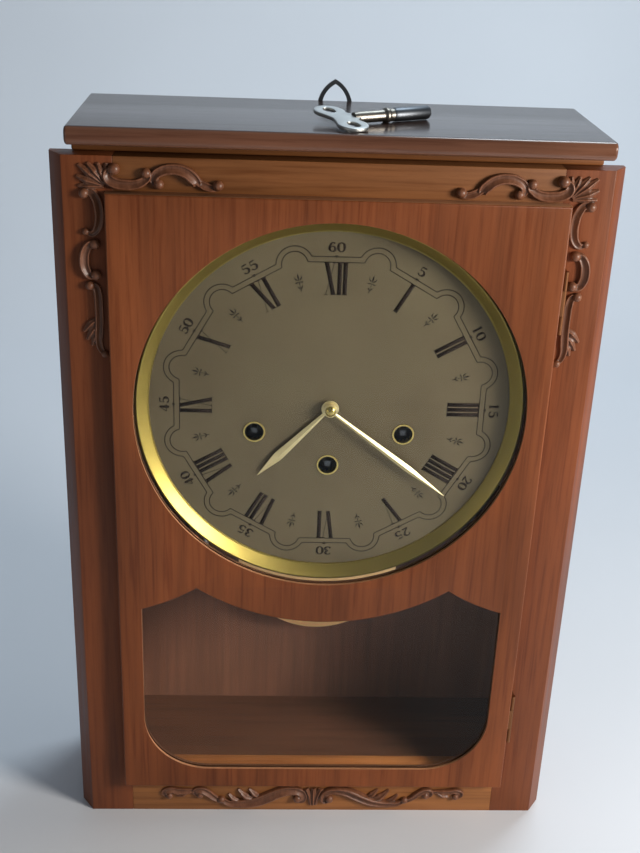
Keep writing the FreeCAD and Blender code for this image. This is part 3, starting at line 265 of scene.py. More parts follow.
def timber(name, colour, along="z", ribbon=0.16, figure=0.14, pore=0.14, gloss=(0.4, 0.54),
           coat=0.05, shine=0.25, relief=0.12, edge=None):
    """A stained veneer. ribbon, figure and pore say how strongly each scale shows.

    relief is how deep the grain feels. edge is a second colour painted on the faces that look neither
    to the front nor to the back, as painted light: a painted highlight on the door's cut edges and a
    painted reflection on the cap's top.
    the back.
    """
    finish, tree, shader = new_finish(name)
    ribbon_place = stretched(tree, along_grain(along, RIBBON_STRETCH), shift=(0.3, 0.1, 0.2))
    line_place = stretched(tree, along_grain(along, LINE_STRETCH))
    pore_place = stretched(tree, along_grain(along, PORE_STRETCH))
    bands = noise(tree, ribbon_place, RIBBON_SCALE, detail=2)
    lines = noise(tree, line_place, LINE_SCALE, detail=6, roughness=0.6, distortion=0.2)
    cloud = noise(tree, stretched(tree, (1, 1, 1)), CLOUD_SCALE, detail=2)
    flecks = noise(tree, pore_place, PORE_SCALE, detail=2, roughness=0.5)
    deep = tuple(c * c ** 0.12 for c in colour)
    stain = ramp(tree, lines, (0.3, shaded(deep, 1 - figure)), (0.5, colour),
                 (0.7, shaded(colour, 1 + figure)))
    ribbons = ramp(tree, bands, (0.36, 1 - ribbon), (0.5, 1.0), (0.64, 1 + ribbon))
    stain = blend(tree, 1.0, stain, ribbons, "MULTIPLY")
    stain = blend(tree, 1.0, stain, ramp(tree, cloud, (0.3, 0.88), (0.7, 1.12)), "MULTIPLY")
    pores = ramp(tree, flecks, (0.58, 0.0), (0.72, 1.0))
    stain = blend(tree, spread(tree, pores, 0.0, pore), stain, shaded(colour, 0.3))
    # Painted light: faces that look up, down or sideways take the edge colour, a painted highlight on the
    # door and a painted reflection on the cap.
    if edge:
        facing = step(tree, "SeparateXYZ", output="Y", Vector=step(tree, "TexCoord", output="Normal"))
        flat = step(tree, "Math", settings={"operation": "ABSOLUTE"}, i0=facing)
        painted_side_light = ramp(tree, lines, (0.3, shaded(edge, 1 - figure)), (0.7, shaded(edge, 1 + figure)))
        stain = blend(tree, spread(tree, flat, 1.0, 0.0, 0.25, 0.6), stain, painted_side_light)
    tree.links.new(stain, shader.inputs["Base Color"])
    tree.links.new(spread(tree, lines, gloss[0], gloss[1], 0.3, 0.7), shader.inputs["Roughness"])
    shader.inputs["Specular IOR Level"].default_value = shine
    shader.inputs["Coat Weight"].default_value = coat
    shader.inputs["Coat Roughness"].default_value = LACQUER_ROUGHNESS
    height = step(tree, "Math", settings={"operation": "SUBTRACT"}, i0=lines, i1=pores)
    bump(tree, shader, height, relief, GRAIN_DEPTH)
    return finish


# The door's pale edge colour is a painted highlight on its cut edges.
door_veneer = timber("door_veneer", (0.168, 0.046, 0.0125), edge=(0.36, 0.17, 0.085))
case_upright = timber("case_wood_upright", (0.165, 0.045, 0.0135), ribbon=0.1)
case_level = timber("case_wood_level", (0.178, 0.066, 0.02), along="x", ribbon=0.12)
sill_wood = timber("bottom_rail_wood", (0.265, 0.102, 0.031), along="x", ribbon=0.12)
# The cap's dark edge colour is a painted reflection on its top, underside and ends.
cap_gloss = timber("cap_wood_gloss", (0.14, 0.058, 0.032), along="x", gloss=(0.2, 0.27), coat=0.3,
                   shine=0.32, relief=0.02, edge=(0.05, 0.028, 0.022))
inner_wood = timber("inner_wood", (0.085, 0.036, 0.019), along="x", gloss=(0.5, 0.65), coat=0.0)
print("six woods mixed")

# %% [markdown]
# The back board is plywood, stained dark on the face that shows through the window and left raw on the
# face against the wall. Which face a point lies on is told by the way it faces.

# %% Back board finish
def back_board_ply():
    finish, tree, shader = new_finish("back_ply")
    lines = noise(tree, stretched(tree, along_grain("z", 0.04)), 240, detail=6, roughness=0.6)
    bands = noise(tree, stretched(tree, along_grain("z", 0.12)), 40, detail=2)
    raw = ramp(tree, lines, (0.3, (0.26, 0.155, 0.08)), (0.5, (0.34, 0.22, 0.125)),
               (0.7, (0.42, 0.29, 0.17)))
    stained = ramp(tree, lines, (0.3, (0.105, 0.043, 0.024)), (0.5, (0.136, 0.057, 0.032)),
                   (0.7, (0.165, 0.072, 0.041)))
    facing = step(tree, "SeparateXYZ", output="Y", Vector=step(tree, "TexCoord", output="Normal"))
    colour = blend(tree, spread(tree, facing, 0.0, 1.0, 0.2, 0.6), stained, raw)
    colour = blend(tree, 1.0, colour, ramp(tree, bands, (0.35, 0.85), (0.65, 1.12)), "MULTIPLY")
    tree.links.new(colour, shader.inputs["Base Color"])
    tree.links.new(spread(tree, lines, 0.5, 0.7, 0.3, 0.7), shader.inputs["Roughness"])
    bump(tree, shader, lines, 0.15, 0.0002)
    return finish


back_ply = back_board_ply()
print("back board finish mixed")

# %% [markdown]
# The carvings are stained like the case. Painted shade darkens the hollows and a painted highlight
# lightens the crests, placed by how sharply the surface turns, which Blender calls pointiness.

# %% Carved wood finish
def carved_wood():
    finish, tree, shader = new_finish("carved_wood_stain")
    figure = noise(tree, stretched(tree, (1, 1, 0.12)), 420, detail=5, roughness=0.6)
    colour = ramp(tree, figure, (0.3, (0.095, 0.034, 0.015)), (0.55, (0.15, 0.056, 0.026)),
                  (0.75, (0.2, 0.08, 0.04)))
    # Painted shade in the hollows and a painted highlight on the crests, from pointiness.
    crest = step(tree, "NewGeometry", output="Pointiness")
    painted_shade_and_highlight = ramp(tree, crest, (0.43, 0.25), (0.5, 1.0), (0.58, 1.45))
    colour = blend(tree, 1.0, colour, painted_shade_and_highlight, "MULTIPLY")
    tree.links.new(colour, shader.inputs["Base Color"])
    tree.links.new(spread(tree, figure, 0.38, 0.54, 0.3, 0.7), shader.inputs["Roughness"])
    shader.inputs["Specular IOR Level"].default_value = 0.4
    shader.inputs["Coat Weight"].default_value = 0.12
    shader.inputs["Coat Roughness"].default_value = 0.22
    bump(tree, shader, figure, 0.12, 0.0002)
    return finish


carved_stain = carved_wood()
print("carving stain mixed")

# %% [markdown]
# ## Metal, glass and ink
# Polished brass, satin movement brass, steel, nickel and blackened iron share one recipe: a metal
# colour that drifts a little, fine scratches along one direction, and gloss that follows them. The
# dial is a satin lacquer over metal. Glass lets lamp light through as a thin pane does, by a
# transparent shader for shadow rays only.

# %% Metal, glass and ink finishes
SCRATCH_SCALE, SCRATCH_STRETCH, SCRATCH_DEPTH = 2600, (1, 1, 0.04), 0.00004
PATCH_SCALE, TARNISH_SHARE = 55, 0.25


def metal(name, colour, gloss, scratch=0.06, tarnish=None, vary=0.22):
    """A metal that tarnishes in patches. gloss is its least roughness, vary how far that rises."""
    finish, tree, shader = new_finish(name)
    lines = noise(tree, stretched(tree, SCRATCH_STRETCH), SCRATCH_SCALE, detail=3)
    patch = noise(tree, stretched(tree, (1, 1, 1)), PATCH_SCALE, detail=4)
    old = tarnish or shaded(colour, 0.55)
    worn = spread(tree, patch, 0.0, TARNISH_SHARE, 0.42, 0.75)
    tree.links.new(blend(tree, worn, colour, old), shader.inputs["Base Color"])
    shader.inputs["Metallic"].default_value = 1.0
    mixed = step(tree, "Math", settings={"operation": "MULTIPLY"}, i0=lines, i1=patch)
    tree.links.new(spread(tree, mixed, gloss, gloss + vary, 0.1, 0.5), shader.inputs["Roughness"])
    bump(tree, shader, lines, scratch, SCRATCH_DEPTH)
    return finish


bright_brass = metal("bright_brass", (0.66, 0.5, 0.17), 0.1)
hand_brass = metal("hand_brass", (0.8, 0.68, 0.38), 0.32, scratch=0.05)
ring_brass = metal("ring_brass", (0.31, 0.235, 0.062), 0.36, scratch=0.006, tarnish=(0.24, 0.175, 0.05),
                   vary=0.08)
satin_brass = metal("satin_brass", (0.62, 0.46, 0.2), 0.26, scratch=0.12, tarnish=(0.3, 0.2, 0.09))
# The bob's brass is lighter than the other brass partly as painted light, standing in for the light that
# falls on it through the window.
bob_brass_painted_light = metal("bob_brass_painted_light", (0.95, 0.62, 0.3), 0.4, scratch=0.05, tarnish=(0.7, 0.4, 0.18))
steel = metal("bright_steel", (0.5, 0.5, 0.5), 0.24, tarnish=(0.25, 0.23, 0.21))
# Dark steel: the real colour of the hanger and the key's socket, and painted shade on the winding arbors in
# their holes.
dark_steel_and_hole_shade = metal("dark_steel_and_hole_shade", (0.1, 0.11, 0.125), 0.34, tarnish=(0.06, 0.045, 0.04))
dark_bronze = metal("dark_bronze", (0.23, 0.1, 0.045), 0.4, tarnish=(0.13, 0.055, 0.025))
black_iron = metal("black_iron", (0.06, 0.06, 0.062), 0.42, tarnish=(0.08, 0.05, 0.035))
nickel = metal("key_nickel", (0.46, 0.47, 0.46), 0.32, tarnish=(0.27, 0.27, 0.26))
dull_nickel = metal("key_shank_nickel", (0.19, 0.175, 0.155), 0.3, tarnish=(0.11, 0.1, 0.085))


def dial_lacquer():
    finish, tree, shader = new_finish("dial_champagne")
    grain = noise(tree, stretched(tree, (0.03, 1, 1)), 2200, detail=3)
    age = noise(tree, stretched(tree, (1, 1, 1)), 14, detail=4, roughness=0.6)
    colour = ramp(tree, age, (0.3, (0.082, 0.062, 0.033)), (0.5, (0.1, 0.077, 0.043)),
                  (0.72, (0.114, 0.09, 0.051)))
    brushed = ramp(tree, grain, (0.35, (0.065, 0.05, 0.027)), (0.65, (0.145, 0.117, 0.068)))
    tree.links.new(blend(tree, 0.1, colour, brushed), shader.inputs["Base Color"])
    shader.inputs["Metallic"].default_value = 0.35
    tree.links.new(spread(tree, grain, 0.36, 0.5, 0.3, 0.7), shader.inputs["Roughness"])
    bump(tree, shader, grain, 0.006, 0.00005)
    return finish


def clear_glass():
    finish, tree, shader = new_finish("clear_glass")
    tint = noise(tree, stretched(tree, (1, 1, 1)), 18, detail=1)
    tree.links.new(ramp(tree, tint, (0.35, (0.96, 0.98, 0.972)), (0.65, (0.985, 0.995, 0.99))),
                   shader.inputs["Base Color"])
    shader.inputs["Roughness"].default_value = 0.0
    shader.inputs["IOR"].default_value = 1.18
    shader.inputs["Transmission Weight"].default_value = 1.0
    lamp_ray = step(tree, "LightPath", output="Is Shadow Ray")
    through = step(tree, "BsdfTransparent", Color=(0.95, 0.97, 0.96, 1.0))
    both = tree.nodes.new("ShaderNodeMixShader")
    for socket, value in zip(both.inputs, (lamp_ray, shader.outputs[0], through)):
        tree.links.new(value, socket)
    tree.links.new(both.outputs[0], tree.nodes["Material Output"].inputs["Surface"])
    return finish


def printing_ink():
    finish, tree, shader = new_finish("dial_ink")
    wear = noise(tree, stretched(tree, (1, 1, 1)), 700, detail=3)
    colour = ramp(tree, wear, (0.35, (0.01, 0.006, 0.005)), (0.6, (0.016, 0.01, 0.008)),
                  (0.8, (0.035, 0.024, 0.017)))
    tree.links.new(colour, shader.inputs["Base Color"])
    tree.links.new(spread(tree, wear, 0.7, 0.9), shader.inputs["Roughness"])
    shader.inputs["Specular IOR Level"].default_value = 0.1
    bump(tree, shader, wear, 0.05, 0.00003)
    return finish


dial_champagne, pane, ink = dial_lacquer(), clear_glass(), printing_ink()
print("metals, dial lacquer, glass and ink mixed")

# %% [markdown]
# ## Finishes on the CAD pieces
# Most CAD pieces already have the right shape, so they only take a finish. Each group below is what
# a clockmaker would have bought or turned from one stock.

# %% Dress the CAD pieces
stock = {
    inner_wood: ["case_top_board", "case_bottom_board", "seat_board", "glass_beads"],
    back_ply: ["back_board"],
    pane: ["dial_glass", "pendulum_glass"],
    ring_brass: ["dial_ring"],
    bright_brass: ["winding_grommets", "hand_nut"],
    hand_brass: ["minute_hand", "hour_hand"],
    satin_brass: ["front_plate", "back_plate", "plate_pillars", "centre_wheel", "third_wheel",
                  "escape_wheel", "time_barrel", "strike_barrel", "chime_barrel", "minute_wheel",
                  "hour_wheel", "cannon_pinion", "rating_nut", "suspension_cock", "strike_hammer",
                  "chime_hammer"],
    dark_bronze: ["case_hinge_leaves", "door_hinge_leaves", "hinge_pins"],
    black_iron: ["gong_block"],
    bob_brass_painted_light: ["pendulum_bob"],
    steel: ["time_click", "strike_click", "chime_click", "pallet_anchor", "door_catch_clip",
            "door_catch_stud", "fixing_screws", "pendulum_rod", "gong_rods"],
    # The winding arbors take the dark steel as painted shade, standing in for the shade inside the winding
    # holes.
    dark_steel_and_hole_shade: ["hanger_loop", "time_winding_arbor", "strike_winding_arbor", "chime_winding_arbor"],
    nickel: ["winding_key"],
    dial_champagne: ["dial_plate"],
    case_upright: ["left_stile", "right_stile", "left_side_panel", "right_side_panel"],
    case_level: ["top_rail", "neck_moulding"],
    sill_wood: ["bottom_rail"],
    cap_gloss: ["cap_board"],
    door_veneer: ["door_panel"],
    carved_stain: ["top_left_carving", "top_right_carving", "bottom_carving"],
}
for finish, names in stock.items():
    for name in names:
        cad_nodes[name].data.materials.clear()
        cad_nodes[name].data.materials.append(finish)
undressed = set(cad_nodes) - {name for names in stock.values() for name in names}
print("pieces without a finish:", sorted(undressed))

# %% [markdown]
# ## Eased edges
# No cabinet maker leaves a sharp edge: sandpaper takes it off, and the narrow round then catches the
# light. The CAD wood has sharp edges, so each visible board is copied, its loose triangles merged,
# its flat faces joined up, and its edges rounded by a narrow bevel. The copy stands for the board.

# %% Ease the edges of the woodwork
NEARLY_FLAT = math.radians(0.5)


def eased(node, width, body, finish):
    """A copy of a board with its edges rounded by a width in mm, which stands for the board."""
    pick(cad_nodes[node])
    bpy.ops.object.duplicate()
    board = bpy.context.object
    board.name = board.data.name = f"{node}_eased"
    for mark in [key for key in board.keys() if key.startswith("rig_")]:
        del board[mark]
    bpy.ops.mesh.customdata_custom_splitnormals_clear()
    clean(board, 1e-6)
    bpy.ops.object.mode_set(mode="EDIT")
    bpy.ops.mesh.select_all(action="SELECT")
    bpy.ops.mesh.dissolve_limited(angle_limit=NEARLY_FLAT)
    bpy.ops.object.mode_set(mode="OBJECT")
    work(board, "BEVEL", width=width * MM, segments=3, limit_method="ANGLE", angle_limit=SHARP_EDGE)
    smooth(board)
    fit(board, body, finish, [node])


eased("door_panel", 1.1, "door", door_veneer)
for side in ("left", "right"):
    eased(f"{side}_stile", 0.3, "case", case_upright)
    eased(f"{side}_side_panel", 0.5, "case", case_upright)
eased("top_rail", 0.4, "case", case_level)
eased("bottom_rail", 0.4, "case", sill_wood)
eased("neck_moulding", 1.2, "case", case_level)
eased("cap_board", 0.5, "case", cap_gloss)

# %% [markdown]
# ## Straps: one tool for carving, print and hands
# A carver's scroll, a pen stroke and a clock hand are all a line with a width that swells and thins.
# A curve with a cross section swept along it gives all three: the points carry the half width, and
# the cross section decides whether it is a ridged scroll, a flat stroke or a roof-shaped blade.

# %% Straps
def cross_section(name, outline):
    """A closed outline, in half widths, across and up."""
    curve = bpy.data.curves.new(name, "CURVE")
    curve.dimensions = "2D"
    spline = curve.splines.new("POLY")
    spline.points.add(len(outline) - 1)
    for point, (across, up) in zip(spline.points, outline):
        point.co = (across, up, 0, 1)
    spline.use_cyclic_u = True
    section = bpy.data.objects.new(name, curve)
    bpy.context.scene.collection.objects.link(section)
    return section


def strap(points, halves, section, curved=True, closed=False, fineness=6):
    """A strap along bench points in mm, with a half width at each point, as a mesh."""
    pick(section)
    bpy.ops.curve.primitive_bezier_curve_add()
    line = bpy.context.object
    curve = line.data
    curve.splines.clear()
    spline = curve.splines.new("BEZIER" if curved else "POLY")
    knots = spline.bezier_points if curved else spline.points
    knots.add(len(points) - 1)
    for knot, (x, y), half in zip(knots, points, halves):
        knot.co = (x, y, 0) if curved else (x, y, 0, 1)
        knot.radius = half
        if curved:
            knot.handle_left_type = knot.handle_right_type = "AUTO"
    spline.use_cyclic_u = closed
    curve.twist_mode, curve.bevel_mode, curve.bevel_object = "Z_UP", "OBJECT", section
    curve.use_fill_caps, curve.resolution_u = not closed, fineness
    pick(line)
    bpy.ops.object.convert(target="MESH")
    return bpy.context.object


scroll_section = cross_section("scroll_section", [
    (-1.0, -0.3), (-1.0, 0.7), (-0.86, 1.15), (-0.62, 1.28), (-0.36, 1.02), (0.1, 0.66), (0.5, 0.62),
    (0.74, 0.84), (0.92, 0.78), (1.0, 0.4), (1.0, -0.3)])
leaf_section = cross_section("leaf_section", [
    (-1.0, -0.3), (-1.0, 0.5), (-0.76, 0.8), (-0.36, 0.98), (-0.12, 1.42), (0.12, 1.42), (0.36, 0.98),
    (0.76, 0.8), (1.0, 0.5), (1.0, -0.3)])
print("carver's cross sections ready")

# %% [markdown]
# ## The carvings
# The applied carvings are rococo scrolls: a fan of leaves at each top corner, C-scrolls that run along
# the rail and down the stile, each with a ball at its end, and a symmetrical spray on the bottom rail.
# The straps, leaves and balls are laid out as a carver draws them, then fused by a voxel remesh, so
# that the whole is one skin with soft hollows where the pieces meet, as if cut from one board.

# %% Carve the top corners and the bottom rail
CARVING_VOXEL = 0.34
RELIEF_SINK = 0.25
LEAF_ROOT, LEAF_TIP = 1.1, 1.0


def ball(x, y, radius, lift=0.45):
    bpy.ops.mesh.primitive_uv_sphere_add(segments=20, ring_count=12, radius=radius,
                                         location=(x, y, radius * lift))
    return bpy.context.object


def carve(name, parts, mirror, y, node):
    """Fuse laid-out parts into one carving, flat at the back, and set it on the case."""
    carving = joined(parts, name)
    clean(carving)
    carving.data.remesh_voxel_size = CARVING_VOXEL
    pick(carving)
    bpy.ops.object.voxel_remesh()
    work(carving, "SMOOTH", factor=0.5, iterations=4)
    bpy.ops.object.mode_set(mode="EDIT")
    bpy.ops.mesh.select_all(action="SELECT")
    bpy.ops.mesh.bisect(plane_co=(0, 0, -RELIEF_SINK), plane_no=(0, 0, -1), use_fill=True, clear_outer=True)
    if mirror:
        bpy.ops.mesh.select_all(action="SELECT")
        bpy.ops.transform.resize(value=(-1, 1, 1), center_override=(0, 0, 0))
    bpy.ops.object.mode_set(mode="OBJECT")
    clean(carving)
    stand_up(carving, y=y)
    smooth(carving, 60)
    fit(carving, "case", carved_stain, [node])


def corner_parts():
    """The right-hand corner, in the clock's own x and z."""
    scrolls = [
        ([(131.4, 473.0), (134.4, 471.4), (134.6, 468.0), (131.0, 465.2), (124.8, 464.2), (118.4, 464.6),
          (113.8, 466.8), (111.4, 469.8), (112.6, 471.2)], (1.8, 2.5, 3.1, 3.3, 3.2, 3.0, 2.6, 2.1, 1.6)),
        ([(105.2, 464.6), (108.0, 465.8), (107.8, 469.4), (103.4, 472.8), (97.2, 474.0), (90.8, 472.8),
          (86.4, 469.8), (83.8, 466.6), (83.6, 464.4)], (1.7, 2.2, 2.8, 3.1, 3.2, 3.4, 3.5, 3.2, 2.4)),
        ([(88.4, 470.8), (83.0, 467.0), (78.4, 464.4), (74.4, 463.4), (71.4, 463.8), (70.6, 465.0)],
         (1.5, 2.2, 2.5, 2.3, 1.9, 1.5)),
        ([(148.6, 458.8), (145.2, 459.4), (142.0, 456.0), (140.3, 449.6), (140.3, 443.0), (142.2, 437.0),
          (145.2, 434.6), (148.4, 435.6)], (1.8, 2.4, 2.8, 2.9, 2.8, 2.5, 2.1, 1.3)),
        ([(143.4, 428.4), (146.2, 428.2), (149.0, 424.6), (150.2, 418.6), (149.4, 412.6), (146.8, 409.0),
          (143.4, 409.4)], (1.8, 2.5, 2.9, 3.1, 2.9, 2.5, 1.8)),
        ([(147.2, 402.8), (144.4, 402.2), (142.8, 397.6), (142.5, 391.4), (142.4, 385.2), (142.5, 378.8),
          (143.0, 372.4), (143.2, 366.6), (142.0, 361.8), (139.8, 359.0)],
         (1.8, 2.4, 2.7, 2.7, 2.7, 2.7, 2.7, 2.3, 1.9, 1.4)),
    ]
    leaves = [
        ((137.0, 463.4), (145.2, 470.2), (151.6, 475.2), 2.6),
        ((136.6, 463.8), (142.2, 471.4), (146.6, 476.2), 2.6),
        ((136.2, 464.2), (138.8, 471.6), (140.6, 476.4), 2.4),
        ((137.2, 463.0), (146.6, 466.2), (152.8, 468.6), 2.6),
        ((137.2, 462.6), (145.8, 462.8), (152.2, 462.8), 2.2),
        ((135.8, 464.6), (135.6, 472.0), (135.4, 476.4), 2.0),
        ((142.0, 382.6), (147.4, 378.6), (152.2, 373.2), 2.5),
        ((142.0, 379.4), (147.0, 373.6), (150.4, 367.8), 2.5),
        ((142.4, 375.8), (145.6, 369.6), (147.2, 364.2), 2.2),
    ]
    balls = [(131.0, 473.2, 3.5), (112.8, 471.2, 3.0), (105.4, 464.8, 3.0), (71.0, 465.0, 3.1),
             (148.8, 458.6, 3.1), (143.3, 428.4, 3.2), (143.3, 409.4, 3.2), (147.4, 402.8, 2.9),
             (139.8, 359.0, 2.4), (148.6, 435.6, 2.1)]
    parts = [strap(points, halves, scroll_section) for points, halves in scrolls]
    for root, bend, tip, half in leaves:
        parts.append(strap((root, bend, tip), (LEAF_ROOT, half, LEAF_TIP), leaf_section))
    return parts + [ball(*spot) for spot in balls]


def bottom_parts():
    """One half of the bottom spray and its mirror image, with a stem in the middle."""
    half_scrolls = [
        ([(11.8, 11.8), (9.0, 9.4), (7.2, 12.8), (9.2, 17.4), (15.4, 19.6), (23.0, 18.8), (31.0, 15.2),
          (39.4, 10.8), (47.0, 8.2), (54.6, 7.2), (62.2, 7.4), (67.2, 10.2)],
         (1.6, 2.2, 2.6, 2.9, 3.2, 3.7, 4.0, 3.9, 3.4, 2.9, 2.4, 1.8)),
        ([(65.8, 8.0), (72.6, 12.2), (77.6, 16.8), (82.4, 19.4), (86.4, 18.0), (85.8, 15.2), (83.0, 14.6)],
         (1.5, 2.3, 2.6, 2.6, 2.2, 1.8, 1.5)),
        ([(87.0, 18.4), (93.6, 18.0), (99.6, 18.5), (105.4, 19.2), (109.0, 17.2), (108.0, 14.2),
          (105.4, 13.8)], (1.3, 2.2, 2.4, 2.5, 2.1, 1.7, 1.4)),
    ]
    half_leaves = [
        ((41.0, 10.6), (49.4, 13.4), (55.6, 19.8), 2.9),
        ((38.0, 12.0), (43.6, 15.8), (47.4, 20.2), 2.5),
        ((53.0, 8.6), (59.0, 11.4), (62.4, 15.4), 2.2),
        ((91.0, 17.6), (95.6, 14.6), (100.2, 13.4), 2.0),
    ]
    half_balls = [(11.8, 12.0, 3.2), (67.4, 10.8, 2.7), (82.8, 14.8, 2.6), (105.2, 14.0, 2.5)]
    parts = []
    for sign in (-1, 1):
        for points, halves in half_scrolls:
            parts.append(strap([(sign * x, y) for x, y in points], halves, scroll_section))
        for root, bend, tip, half in half_leaves:
            path = [(sign * x, y) for x, y in (root, bend, tip)]
            parts.append(strap(path, (LEAF_ROOT, half, LEAF_TIP), leaf_section))
        parts += [ball(sign * x, y, radius) for x, y, radius in half_balls]
        side_stem = [(sign * 1.8, 5.8), (sign * 2.8, 13.0), (sign * 5.4, 20.8)]
        parts.append(strap(side_stem, (1.4, 1.9, 2.0), leaf_section))
    parts.append(strap([(0, 5.6), (0, 13.0), (0, 21.4)], (1.6, 2.0, 2.0), leaf_section))
    return parts


y_frame_face = millimetres("top_rail")[0].y
carve("right_corner_carving", corner_parts(), False, y_frame_face, "top_right_carving")
carve("left_corner_carving", corner_parts(), True, y_frame_face, "top_left_carving")
carve("bottom_spray_carving", bottom_parts(), False, y_frame_face, "bottom_carving")

# %% [markdown]
# ## The printed dial
# The dial is printed in one dark ink: Roman hours standing with their tops outwards, minute figures,
# a double line that swells between the hours, a pointer at each hour and a sprig at each half hour.
# Each mark is a flat pen stroke, a ribbon with heavy and hairline widths, a hair thicker than the dial.

# %% Draw the marks
INK_RISE = 0.05
ink_section = cross_section("ink_section", [(-1, 0), (-1, 0.2), (1, 0.2), (1, 0)])
HEAVY, HAIR, SERIF = 1.3, 0.17, 0.2
HOUR_LOW, HOUR_TOP = 75.0, 95.0


def pen(*points, width=HAIR, ends=None, curved=False):
    """A pen stroke through points, all of one width or with a width for each point."""
    halves = ends or (width,) * len(points)
    return strap(points, halves, ink_section, curved=curved, fineness=5)


def serif(x, y, reach=1.7):
    return pen((x - reach, y), (x + reach, y), width=SERIF)


def hour_stroke(letter, x):
    """The strokes of one letter of an hour, centred on x."""
    if letter == "I":
        return [pen((x, HOUR_LOW), (x, HOUR_TOP), width=HEAVY), serif(x, HOUR_LOW), serif(x, HOUR_TOP)]
    foot = 0.0 if letter == "V" else 2.3
    top = 2.7 if letter == "V" else 2.3
    thick = pen((x - top, HOUR_TOP), (x + foot, HOUR_LOW), width=HEAVY)
    thin = pen((x + top, HOUR_TOP), (x - foot, HOUR_LOW))
    marks = [thick, thin, serif(x - top, HOUR_TOP), serif(x + top, HOUR_TOP, 1.2)]
    if letter == "X":
        marks += [serif(x + foot, HOUR_LOW), serif(x - foot, HOUR_LOW, 1.2)]
    return marks


LETTER_ROOM = {"I": 3.4, "V": 7.6, "X": 8.2}


def hour_marks(word):
    marks, x = [], -sum(LETTER_ROOM[letter] for letter in word) / 2
    for letter in word:
        marks += hour_stroke(letter, x + LETTER_ROOM[letter] / 2)
        x += LETTER_ROOM[letter]
    return marks


# Each figure's strokes, in a field 8 wide and 10 high: points and half widths
FIGURES = {
    "0": [([(4, 9.8), (1.5, 7.6), (1.2, 5), (1.5, 2.4), (4, 0.2), (6.5, 2.4), (6.8, 5), (6.5, 7.6), (4, 9.8)],
           (0.35, 0.9, 1.1, 0.9, 0.35, 0.9, 1.1, 0.9, 0.35))],
    "1": [([(4.2, 0), (4.2, 5), (4.2, 10)], (1.0, 1.0, 1.0)),
          ([(2.2, 8.2), (3.2, 9.0), (4.4, 9.8)], (0.3, 0.4, 0.4)),
          ([(2.2, 0.2), (4.2, 0.2), (6.2, 0.2)], (0.25, 0.3, 0.25))],
    "2": [([(1.5, 7.4), (2.6, 9.4), (5.0, 9.6), (6.7, 7.4), (5.2, 4.4), (1.4, 0.7)],
           (0.8, 0.5, 0.5, 1.05, 0.6, 0.35)),
          ([(1.2, 0.6), (4, 0.6), (7, 0.7)], (0.5, 0.8, 0.5))],
    "3": [([(1.4, 8.2), (3.8, 9.7), (6.3, 7.6), (3.8, 5.3)], (0.6, 0.4, 1.0, 0.3)),
          ([(3.8, 5.3), (6.7, 2.7), (4.0, 0.3), (1.3, 1.8)], (0.3, 1.1, 0.4, 0.7))],
    "4": [([(5.3, 0), (5.3, 5), (5.3, 10)], (1.0, 1.0, 0.9)),
          ([(5.2, 9.8), (3.0, 6.4), (0.8, 3.0)], (0.3, 0.3, 0.3)),
          ([(0.6, 2.9), (4, 2.9), (7.6, 2.9)], (0.35, 0.35, 0.35))],
    "5": [([(2.2, 9.3), (4.4, 9.4), (6.6, 9.6)], (0.5, 0.6, 0.5)),
          ([(2.2, 9.3), (2.0, 7.3), (1.9, 5.2)], (0.3, 0.3, 0.3)),
          ([(1.9, 5.2), (4.2, 6.0), (6.7, 3.2), (4.0, 0.3), (1.3, 1.8)], (0.3, 0.4, 1.1, 0.4, 0.7))],
    "6": [([(6.2, 8.6), (4.2, 9.6), (1.8, 6.4), (1.4, 3.2), (4.0, 0.3), (6.6, 3.0), (4.1, 5.6), (1.6, 3.4)],
           (0.6, 0.4, 0.9, 1.0, 0.35, 1.05, 0.35, 0.4))],
}
FIELD_WIDTH, FIELD_HEIGHT = 8, 10
FIGURE_HEIGHT, FIGURE_ROOM, FIGURE_MIDDLE = 6.0, 9.0, 105.0
FIGURE_WEIGHT = 1.25


def minute_marks(word):
    unit = FIGURE_HEIGHT / FIELD_HEIGHT
    marks, left = [], -len(word) * FIGURE_ROOM * unit / 2
    for figure in word:
        for points, halves in FIGURES[figure]:
            path = [(left + x * unit * FIGURE_ROOM / FIELD_WIDTH,
                     FIGURE_MIDDLE + (y - FIELD_HEIGHT / 2) * unit) for x, y in points]
            marks.append(pen(*path, ends=[half * unit * FIGURE_WEIGHT for half in halves], curved=True))
        left += FIGURE_ROOM * unit
    return marks


def sprig_marks():
    """A small traditional sprig: a bud, four petals, a stem and two leaves."""
    marks = [pen((0, 86.2), (0, 88.4), (0, 91.0), ends=(0.15, 0.6, 0.08), curved=True),
             pen((0, 85.6), (0, 82.4), (0, 79.2), ends=(0.3, 0.16, 0.35), curved=True)]
    for sign in (-1, 1):
        for path in (((0.4, 86.4), (1.7, 87.4), (2.5, 89.2)), ((0.4, 85.6), (1.7, 85.0), (2.8, 85.2)),
                     ((0.1, 81.0), (1.0, 81.8), (1.5, 83.0))):
            marks.append(pen(*[(sign * x, y) for x, y in path], ends=(0.14, 0.42, 0.08), curved=True))
    return marks


print("pens ready:", len(FIGURES), "figures and", len(LETTER_ROOM), "letters")

# %% [markdown]
# The double line is drawn once round: a straight run at each hour, then an arc that swells outwards
# at the half hour. Its points come from the two radii of each line.

# %% Print the dial
HOURS = ("XII", "I", "II", "III", "IIII", "V", "VI", "VII", "VIII", "IX", "X", "XI")
HOUR_ANGLE = 30.0
BORDER_HALF, BORDER_EASE = 0.3, 0.995
ARC_CENTRE, ARC_PARTS = 97.0, 6
BORDER_LINES = ((100.0, 11.4), (97.2, 8.0))
POINTER = ((0, 99.9), (0, 98.0))
POINTER_HALVES = (1.1, 0.1)


